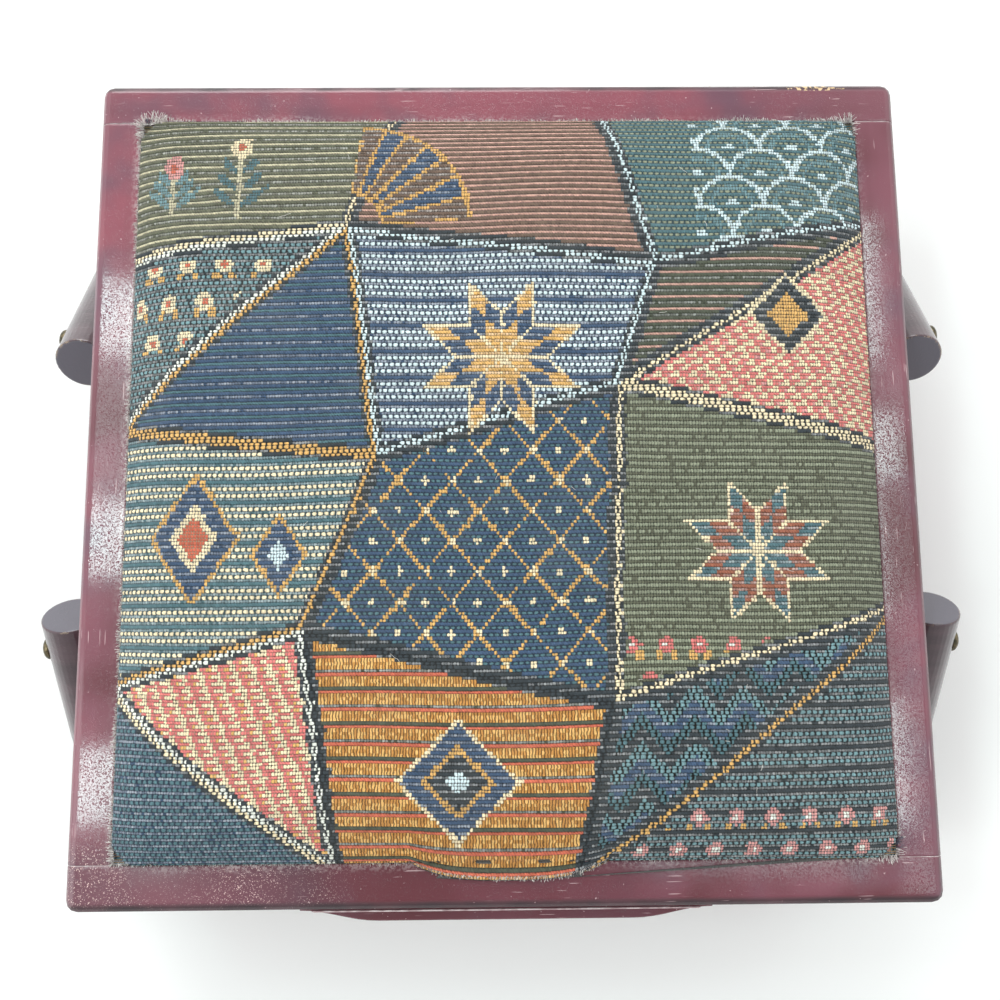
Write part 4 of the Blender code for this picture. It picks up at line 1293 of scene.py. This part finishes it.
def depth_in(corners):
    """How far each stitch lies inside a patch with these corners, listed anticlockwise."""
    depth = np.full(across.shape, SIZE)
    for (x0, y0), (x1, y1) in zip(corners, corners[1:] + corners[:1]):
        side = math.hypot(x1 - x0, y1 - y0)
        toward = ((x1 - x0) * (up - y0) - (y1 - y0) * (across - x0)) / side
        depth = np.minimum(depth, toward)
    return depth


def patch(corners, outline):
    """The stitches of a patch, after its dark seam and its line of knots are woven."""
    depth = depth_in(corners)
    lay((depth > 0) & (depth < SEAM), "ink")
    if outline:
        lay((depth > 0) & (depth < OUTLINE), outline, bead=BEAD)
    return depth > SEAM


CROSSINGS = (((0, 0), (84, 0), (168, 0), (285, 0)), ((0, 66), (72, 86), (180, 60), (285, 92)),
             ((0, 158), (98, 146), (184, 172), (285, 150)),
             ((0, 222), (86, 232), (198, 218), (285, 236)),
             ((0, 285), (104, 285), (180, 285), (285, 285)))


def quad(i, j):
    """The four corners of one patch of the quilt."""
    lower, upper = CROSSINGS[j:j + 2]
    return [lower[i], lower[i + 1], upper[i + 1], upper[i]]


def triangle(i, j, *picked):
    """Three of the four corners of a patch that is cut from corner to corner."""
    return [quad(i, j)[k] for k in picked]


# %% The patchwork
blossom_ground = triangle(0, 2, 0, 2, 3)
corner_ground = triangle(2, 0, 0, 1, 2)
ribbed(patch(quad(0, 3), "cream"), "olive", "sand", every=2)
ribbed(patch(quad(1, 3), None), "brown", "blush")
dotted(patch(quad(2, 3), "ice"), "sage", "teal")
ribbed(patch(triangle(0, 2, 0, 1, 2), "gold"), "navy", "teal", every=2)
beads(patch(blossom_ground, "white"), "sea", "ink")
beads(patch(quad(1, 2), "ice"), "ice", "navy", cycle=4, skipped=1)
dashes(patch(triangle(2, 2, 0, 1, 2), "cream"), "cream", "rose", "pink", 2)
ribbed(patch(triangle(2, 2, 0, 2, 3), None), "moss", "blush", every=2)
beads(patch(quad(0, 1), "gold"), "cream", "teal", cycle=3, skipped=1)
navy_middle = patch(quad(1, 1), None)
dotted(navy_middle, "teal", "navy")
trellis(navy_middle, 19.0, "gold", "cream")
plain(patch(quad(2, 1), "cream"), "sage", "olive", "moss")
beads(patch(triangle(0, 0, 0, 1, 3), "cream"), "teal", "navy")
dashes(patch(triangle(0, 0, 1, 2, 3), "white"), "cream", "rose", "gold", 1)
floats(patch(quad(1, 0), "ink"), "amber", "gold", "brick", "moss")
beads(patch(corner_ground, "gold"), "sea", "ink", cycle=3, skipped=1)
chevrons(patch(triangle(2, 0, 0, 2, 3), None), 18.0, ("navy", "sea", "ink", "teal"))

fan(86.0, 232.0, 46.0, 4.0, 84.0, 7, "gold", "navy", "brown")
shells((depth_in(quad(2, 3)) > 2.6) & (across > 214), 24.0, "ice", "sea")
sprig(46.0, 236.0, 30.0, "sand", "teal", "cream")
sprig(20.0, 238.0, 20.0, "sand", "sea", "pink")
star(142.0, 182.0, 17.0, "cream", "gold", "navy")
lozenge(34.0, 118.0, 17.0, 24.0,
        (("gold", 1.0), ("navy", 0.90, 0), ("cream", 0.52), ("brick", 0.34)))
lozenge(64.0, 112.0, 10.0, 15.0, (("gold", 1.0), ("navy", 0.84, 0), ("ice", 0.36)))
blossoms((depth_in(blossom_ground) > 5) & (up > 186) & (up < 220), 14.0, "cream", "brick", "gold")
star(232.0, 112.0, 15.0, "cream", "teal", "rust")
blossoms((depth_in(quad(2, 1)) > 4) & (up < 84), 12.0, "rose", "white", "gold")
lozenge(126.0, 34.0, 22.0, 22.0,
        (("cream", 1.0), ("navy", 0.92, 0), ("gold", 0.60), ("ink", 0.48, 0), ("ice", 0.2)))
blossoms((depth_in(corner_ground) > 5) & (up < 26), 13.0, "pink", "white", "gold")
lozenge(246.0, 198.0, 16.0, 16.0, (("cream", 1.0), ("ink", 0.88, 0), ("gold", 0.5)))

# %% Uneven yarn
BOUND_SHADE = 0.42
PALE_WARP = 0.17
STRAY_SHARE = 0.10
STITCH_CHANGE = 0.34
ROW_CHANGE = 0.16
bound = thin & ~covered & (spin > 0.06)
shaded_ground[bound] = chart[bound] * BOUND_SHADE
chart[bound] += PALE_WARP * (1 - np.minimum(chart[bound], 1)) * (0.4 + 1.1 * spin[bound, None])
beaded[bound] = KNOT
strayed = chance.random((ROWS, COLUMNS)) < STRAY_SHARE
chart[strayed] = np.roll(chart, 1, axis=1)[strayed]
chart *= (1 + STITCH_CHANGE * (spin - 0.5))[..., None]
chart *= (1 + ROW_CHANGE * (chance.random((ROWS, 1)) - 0.5))[..., None]
print("yarns in the chart:", len(YARN))

# %% [markdown]
# ## Weaving the mesh
# Rows of points lie on the crest of each rib and in the grooves between them, so the ribs are
# real relief. The columns follow the stitches. Cloth is never quite straight, so the whole grid
# wanders by about a millimetre. The last rows and columns turn down into the frame's recess, and
# one flat face closes the pad underneath, because the foam and the cloth are one body here. In
# the middle of the front edge the cloth spills over the rail a little.

# %% Places of the rows and columns
RIB_CREST = 0.32 * MM
LINE_CREST = 0.06 * MM
GROOVE = -0.30 * MM
pair_steps = np.array((0.0, RIB_SHARE / 2, RIB_SHARE, (1 + RIB_SHARE) / 2))
row_places = np.concatenate([k + pair_steps for k in range(PAIRS)] + [[PAIRS]])
row_relief = np.resize((GROOVE, RIB_CREST, GROOVE, LINE_CREST), len(row_places))


def on_section(arc):
    """Where a length of cloth lands: its place across the pad, and how far it hangs down."""
    wall = section_steps[0]
    hang = np.clip(1 - arc / wall, 0, 1) + np.clip(1 - (cloth_length - arc) / wall, 0, 1)
    return list(zip(np.interp(arc, section_run, section_x), hang))


def rounded_corner(x, y):
    """Keeps the pad's corners round in plan."""
    start = HALF - CORNER
    a = (abs(x) - start) / CORNER
    b = (abs(y) - start) / CORNER
    if a <= 0 or b <= 0:
        return x, y
    a, b = min(a, 1.0), min(b, 1.0)
    return (math.copysign(start + CORNER * a * math.sqrt(1 - b * b / 2), x),
            math.copysign(start + CORNER * b * math.sqrt(1 - a * a / 2), y))


BULGE = 6.3 * MM
BULGE_MIDDLE = 1.0 * MM
BULGE_HALF = 34.0 * MM
BULGE_DEPTH = 17.0 * MM


def bulge(x, y):
    """How far the cloth spills over the front rail, near the middle of its front edge."""
    beside = max(0.0, 1 - abs((x - BULGE_MIDDLE) / BULGE_HALF) ** 3)
    near = min(1.0, max(0.0, (BULGE_DEPTH - HALF - y) / BULGE_DEPTH))
    return BULGE * beside * near ** 1.6


# %% Weaving the mesh
WANDER = 1.1 * MM
LUMPS = 0.35 * MM
WANDER_WAVES = 22
LUMP_WAVES = 40
LOOSE_CLOTH = 0.55 * MM
PROUD = 0.4 * MM
UNDERSIDE = [0.1, 0.1, 0.1, 1.0]
woven_points = []
for (y0, hang_j), relief in zip(on_section(row_places / PAIRS * cloth_length), row_relief):
    for x0, hang_i in on_section(np.linspace(0, cloth_length, COLUMNS + 1)):
        free = (1 - (x0 / HALF) ** 8) * (1 - (y0 / HALF) ** 8)
        waver = Vector((x0 * WANDER_WAVES, y0 * WANDER_WAVES, 0.7))
        x = x0 + WANDER * free * noise.noise(waver)
        y = y0 + WANDER * free * noise.noise(waver + Vector((5.3, 1.1, 2.9)))
        x, y = rounded_corner(x, y)
        hang = max(hang_i, hang_j)
        if hang == 0:
            y -= bulge(x, y)
        lump = noise.noise(Vector((x * LUMP_WAVES, y * LUMP_WAVES, 2.0)))
        z = height_of_form(x, y) + LUMPS * free * lump
        if y < -HALF:
            z = LID_TOP + LOOSE_CLOTH
        z = z + (cover_low.z - z) * hang + relief * (1 - hang)
        woven_points.append((x, y, min(z, cover_high.z + PROUD)))

wide = COLUMNS + 1
tall = len(row_places)
woven_faces = grid_faces(wide, tall)
rim = (list(range(wide)) + [j * wide + wide - 1 for j in range(1, tall)]
       + [(tall - 1) * wide + i for i in range(wide - 2, -1, -1)]
       + [j * wide for j in range(tall - 2, 0, -1)])
weave = bpy.data.meshes.new("tapestry_pad")
weave.from_pydata(woven_points, [], woven_faces + [tuple(reversed(rim))])
weave.polygons.foreach_set("use_smooth", [True] * len(woven_faces) + [False])


def on_faces(values, last):
    """A value of each stitch on every face of its two rows, and a last one for the underside."""
    row_of_face = np.arange(tall - 1) // 2
    return np.append(values[row_of_face].reshape(len(woven_faces), -1), [last], axis=0).ravel()


for name, values in (("stitch_colour", chart), ("ground_colour", shaded_ground)):
    values = np.concatenate((values, np.ones((ROWS, COLUMNS, 1))), axis=2)
    attribute = weave.attributes.new(name, "FLOAT_COLOR", "FACE")
    attribute.data.foreach_set("color", on_faces(values, UNDERSIDE))
for name, values in (("beaded", beaded), ("floating", floating)):
    attribute = weave.attributes.new(name, "FLOAT", "FACE")
    attribute.data.foreach_set("value", on_faces(values, [0.0]))
corner_points = np.zeros(len(weave.loops), dtype=np.int64)
weave.loops.foreach_get("vertex_index", corner_points)
corner_places = np.stack(((corner_points % wide) / COLUMNS,
                          row_places[corner_points // wide] / PAIRS), axis=1)
weave.uv_layers.new(name="stitches").data.foreach_set("uv", corner_places.ravel())
tapestry = linked("tapestry_pad", weave)
print("tapestry:", len(weave.polygons), "faces")

# %% [markdown]
# ## How yarn takes light
# A stitch is a short oval of twisted yarn that dives into the ground between its neighbours. Its
# crown is painted lighter and its edge darker, a painted highlight and painted shade over a fine
# mottle of fibres. The mesh carries two colours for each face, the yarn and the ground, which is
# painted shade, and the stitch map says where in its stitch a point lies. From that the material
# works out an oval for each stitch: small ones everywhere, wide ones for beads, and ovals that
# run on upright where the yarn floats over the ribs. The ovals wander a little, because no two
# are alike.


# %% Values for the tapestry
def carried(tree, name, output="Fac"):
    """A value or colour that is stored on the mesh."""
    return wire(tree, "ShaderNodeAttribute", None, output, attribute_type="GEOMETRY",
                attribute_name=name)


def from_middle(value, start=0.0, width=1.0):
    """How far a repeating value lies from the middle of a cell: 0 there and 1 at its ends."""
    return abs(step("FRACT", value) - (start + width / 2)) * (2 / width)


def blend(mask, first, second):
    """Goes from the first number to the second as the mask goes from 0 to 1."""
    return wire(mask.tree, "ShaderNodeMix", {0: mask, 2: first, 3: second}, data_type="FLOAT")


def drifting(value, start, end):
    """A noise stretched to a range, at the size of a stitch."""
    return ramp(value, 0.2, 0.8, start, end)


# %% Tapestry material
OVAL = 2.6
WIDE_BEAD = 1.28
SLANT = 1.7
DUSTY = paint(150, 146, 134)
material, tree, shader = new_material("tapestry", roughness=0.92, sheen_weight=0.15,
                                      sheen_roughness=0.5, ior=1.3)
coordinates = object_coordinates(tree)
bead = carried(tree, "beaded")
over = carried(tree, "floating")
place = split(wire(tree, "ShaderNodeUVMap", uv_map="stitches"))
drift = split(wire(tree, "ShaderNodeTexNoise",
                   {"Vector": coordinates, "Scale": 620.0, "Detail": 1.0}, "Color"))
stitches = place[0] * COLUMNS + drifting(drift[0], -0.22, 0.22)
pairs = place[1] * PAIRS + drifting(drift[1], -0.05, 0.05)

is_thin = step("GREATER_THAN", step("FRACT", pairs), RIB_SHARE)
from_row = blend(is_thin, from_middle(pairs, 0.0, RIB_SHARE),
                 from_middle(pairs, RIB_SHARE, 1.0 - RIB_SHARE)) * blend(over, 1.0, 0.15)
is_wide = step("GREATER_THAN", bead, 0.75)
wide_oval = from_middle((stitches + step("FLOOR", pairs)) * 0.5) * WIDE_BEAD
is_flat = step("LESS_THAN", bead + over, 0.25)
narrow_oval = blend(is_flat, from_middle(stitches), from_middle(stitches + pairs * SLANT) * 0.84)
from_stitch = blend(is_wide, narrow_oval, wide_oval) * blend(over, 1.0, 1.25)
reach = (from_row ** OVAL + from_stitch ** OVAL) * drifting(drift[2], 0.8, 1.2)

fibres = noise_at(coordinates, 3600.0, 3.0, 0.7)
dust = ramp(noise_at(coordinates, 45.0, 4.0), 0.4, 0.85, 0.03, 0.13)
colour = mix(ramp(reach, 1.25, 0.70), carried(tree, "ground_colour", "Color"),
             carried(tree, "stitch_colour", "Color"))
# Painted highlight and shade: each stitch is lighter on its crown and darker towards its edge, with
# a fine mottle of fibres on top.
shade = ramp(fibres, 0.25, 0.75, 0.76, 1.24) * ramp(reach, 0.0, 1.0, 1.20, 0.66)
shade = wire(tree, "ShaderNodeCombineColor", {0: shade, 1: shade, 2: shade})
colour = wire(tree, "ShaderNodeMix", {0: 1.0, 6: colour, 7: shade}, 2, data_type="RGBA",
              blend_type="MULTIPLY")
fill(shader, {"Base Color": mix(dust, colour, DUSTY),
              "Normal": bumped(fibres * 0.25 + ramp(reach, 1.2, 0.1), 0.30 * MM, 0.9)})
weave.materials.append(material)
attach(tapestry, "lid")
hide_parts("tapestry_cover", "lid_foam")
print("tapestry finish:", material.name)

# %% [markdown]
# ## Frayed edge
# The cloth was cut to size and pushed into the recess with glue, and its raw edge has come
# apart into short threads that lie over the wood. A Geometry Nodes tree grows a bent thread
# from every point of a line round the pad. Each point carries the way out and how ragged the
# edge is there; length, thickness, bend, seed and material are the tree's inputs. At two corners
# a few threads are dark navy.

# %% Thread tree
thread_tree, given, out = geometry_group(
    "threads", [("Length", "Float"), ("Radius", "Float"), ("Bend", "Float"),
                ("Spread", "Float"), ("Seed", "Int"), ("Material", "Material")])
tree = thread_tree


def random_value(low, high, seed_step):
    """A random number or vector for each point, with a seed of its own."""
    flat = isinstance(low, float)
    low_socket, high_socket, output = (2, 3, 1) if flat else (0, 1, 0)
    return wire(tree, "FunctionNodeRandomValue",
                {low_socket: low, high_socket: high, "Seed": given["Seed"] + seed_step}, output,
                data_type="FLOAT" if flat else "FLOAT_VECTOR")


straight = wire(tree, "GeometryNodeCurvePrimitiveLine", {"End": (1.0, 0.0, 0.0)})
straight = wire(tree, "GeometryNodeResampleCurve", {"Curve": straight, "Count": 5})
stray = vector_step("SCALE", random_value((-1.0, -1.0, -0.12), (1.0, 1.0, 0.5), 1),
                    given["Spread"])
aim = vector_step("ADD", stored(tree, "way_out", "FLOAT_VECTOR"), stray)
scale = random_value(0.25, 1.0, 2) * stored(tree, "ragged", "FLOAT") * given["Length"]
copies = wire(tree, "GeometryNodeInstanceOnPoints",
              {"Points": given["Points"], "Instance": straight, "Rotation": aimed_at(aim),
               "Scale": wire(tree, "ShaderNodeCombineXYZ", {0: scale, 1: scale, 2: scale})})
copies = wire(tree, "GeometryNodeStoreNamedAttribute",
              {"Geometry": copies, "Name": "tint", "Value": random_value(0.0, 1.0, 3)},
              data_type="FLOAT", domain="INSTANCE")
curves = wire(tree, "GeometryNodeRealizeInstances", {0: copies})
swirl = wire(tree, "ShaderNodeTexNoise",
             {"Vector": wire(tree, "GeometryNodeInputPosition"), "Scale": 420.0, "Detail": 1.0},
             "Color")
bend = wire(tree, "GeometryNodeSplineParameter", output="Factor") * given["Bend"]
offset = vector_step("SCALE", vector_step("SUBTRACT", swirl, (0.5, 0.5, 0.42)), bend)
bent = wire(tree, "GeometryNodeSetPosition", {"Geometry": curves, "Offset": offset})
outline = wire(tree, "GeometryNodeCurvePrimitiveCircle",
               {"Resolution": 3, "Radius": given["Radius"]})
tube = wire(tree, "GeometryNodeCurveToMesh",
            {"Curve": bent, "Profile Curve": outline, "Fill Caps": True})
finish_tree(out, tube, given["Material"])

# %% Thread material
DARK_SPOTS = (((-0.1320, 0.1352, LID_TOP), 1.6 * MM), ((0.1348, -0.1292, LID_TOP), 2.6 * MM))
thread_material, tree, shader = new_material("thread", roughness=0.95, sheen_weight=0.3,
                                             sheen_roughness=0.5)
place = object_coordinates(tree)
tint = carried(tree, "tint")
wool = mix(ramp(tint, 0.1, 0.5), paint(160, 152, 150), paint(206, 198, 194))
wool = mix(ramp(tint, 0.50, 0.85), wool, paint(240, 235, 230))
wool = mix(ramp(noise_at(place, 3000.0), 0.5, 0.8, 0.0, 0.2), wool, paint(110, 120, 124))
# Near two spots at the corners the threads are dark navy.
for spot, radius in DARK_SPOTS:
    knot = ramp(vector_step("DISTANCE", place, spot), radius, radius * 0.8)
    wool = mix(knot, wool, paint(34, 48, 74))
fill(shader, {"Base Color": wool})

# %% Fraying the edge
FRAY_COUNT = 6800
FRAY_LINE = HALF - 0.4 * MM
FRAY_HEIGHT = LID_TOP + 0.15 * MM
FRAY_BAND = 0.6 * MM
FRAY_LIFT = 0.5 * MM
FRAY_SLOPE = 0.18
LOWEST_THREAD = LID_TOP + 0.05 * MM
SIDE_ENDS = (0.0, 0.22, 0.34, 0.64, 1.0)
SIDE_SHARES = (0.58, 0.25, 0.80, 0.85)
TUFTS = (((-0.1300, 0.1335), 1.3), ((0.1345, -0.1292), 1.2), ((0.1330, 0.1330), 0.8))
TUFT_REACH = 7.0 * MM
fray = np.random.default_rng(5)

places, ways, raggedness = [], [], []
for number in range(FRAY_COUNT):
    t = np.interp((number + fray.random()) / FRAY_COUNT, SIDE_ENDS, range(5))
    side = int(t)
    s = (t % 1) * 2 - 1
    turn = Matrix.Rotation(side * math.pi / 2, 3, "Z")
    base = turn @ Vector((s * FRAY_LINE, -FRAY_LINE + FRAY_BAND * fray.random(), 0.0))
    x, y = rounded_corner(base.x, base.y)
    y -= bulge(x, y) if side == 0 else 0.0
    places.append((x, y, FRAY_HEIGHT + FRAY_LIFT * fray.random()))
    ways.append(tuple(turn @ Vector((0.0, -1.0, FRAY_SLOPE * fray.random()))))
    amount = SIDE_SHARES[side] * (0.75 + 0.6 * noise.noise(Vector((x * 60, y * 60, 1.0))))
    for spot, extra in TUFTS:
        away = math.hypot(x - spot[0], y - spot[1])
        amount += extra * math.exp(-(away / TUFT_REACH) ** 2)
    raggedness.append(amount)
frayed = grown("frayed_edge", thread_tree, places, {"way_out": ways, "ragged": raggedness},
               {"Length": 3.0 * MM, "Radius": 0.09 * MM, "Bend": 1.9 * MM, "Spread": 0.75,
                "Seed": 4, "Material": thread_material})
for vertex in frayed.data.vertices:
    vertex.co.z = max(vertex.co.z, LOWEST_THREAD)
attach(frayed, "lid")

# %% [markdown]
# ## Lint
# Bits of white thread have settled on the tapestry and cling to its ribs. The same tree grows
# them, from a few dozen points spread over the pad, lying flat.

# %% Lint
LINT_COUNT = 46
LINT_SPREAD = 0.92
LINT_RISE = 0.45 * MM
places, ways, raggedness = [], [], []
for number in range(LINT_COUNT):
    x, y = (fray.random(2) * 2 - 1) * HALF * LINT_SPREAD
    places.append((x, y, height_of_form(x, y) + LINT_RISE))
    angle = fray.random() * 2 * math.pi
    ways.append((math.cos(angle), math.sin(angle), 0.0))
    raggedness.append(0.4 + fray.random() * 0.6)
lint_material, tree, shader = new_material("lint", roughness=0.9, sheen_weight=0.3)
fill(shader, {"Base Color": mix(carried(tree, "tint"), paint(206, 200, 190),
                                paint(240, 238, 232))})
lint = grown("lint", thread_tree, places, {"way_out": ways, "ragged": raggedness},
             {"Length": 4.5 * MM, "Radius": 0.07 * MM, "Bend": 2.2 * MM, "Spread": 0.1,
              "Seed": 9, "Material": lint_material})
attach(lint, "lid")

# %% [markdown]
# ## Lining under the lid
# The underside of the lid is closed by a thin panel wrapped in cream cotton. The cloth is drawn
# over the panel's edges, so the face is slightly crowned and the corners are soft. It swells in
# the same way as the foam, held by its glued top.

# %% Lining under the lid
LINING_SWELL = 0.5 * MM
LINING_VOXEL = 2.5 * MM
LINING_GLUED = 0.8 * MM
lining_low, lining_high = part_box("lid_lining")
lining_rough = remeshed_copy("lid_lining", "lining_rough", LINING_VOXEL)
swell(lining_rough, lambda point: point[2] > lining_high.z - LINING_GLUED, LINING_SWELL)
lining = subdivided(lining_rough, "lining_panel")
for vertex in lining.data.vertices:
    vertex.co.x = max(lining_low.x, min(lining_high.x, vertex.co.x))
    vertex.co.y = max(lining_low.y, min(lining_high.y, vertex.co.y))
    vertex.co.z = min(lining_high.z, vertex.co.z)
lining.data.materials.clear()
lining.data.materials.append(cloth_material("lining_cloth", paint(226, 212, 184),
                                            paint(186, 168, 138), 1800.0, 0.15, 160.0))
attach(lining, "lid")
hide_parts("lid_lining")
print("lining:", len(lining.data.polygons), "faces")
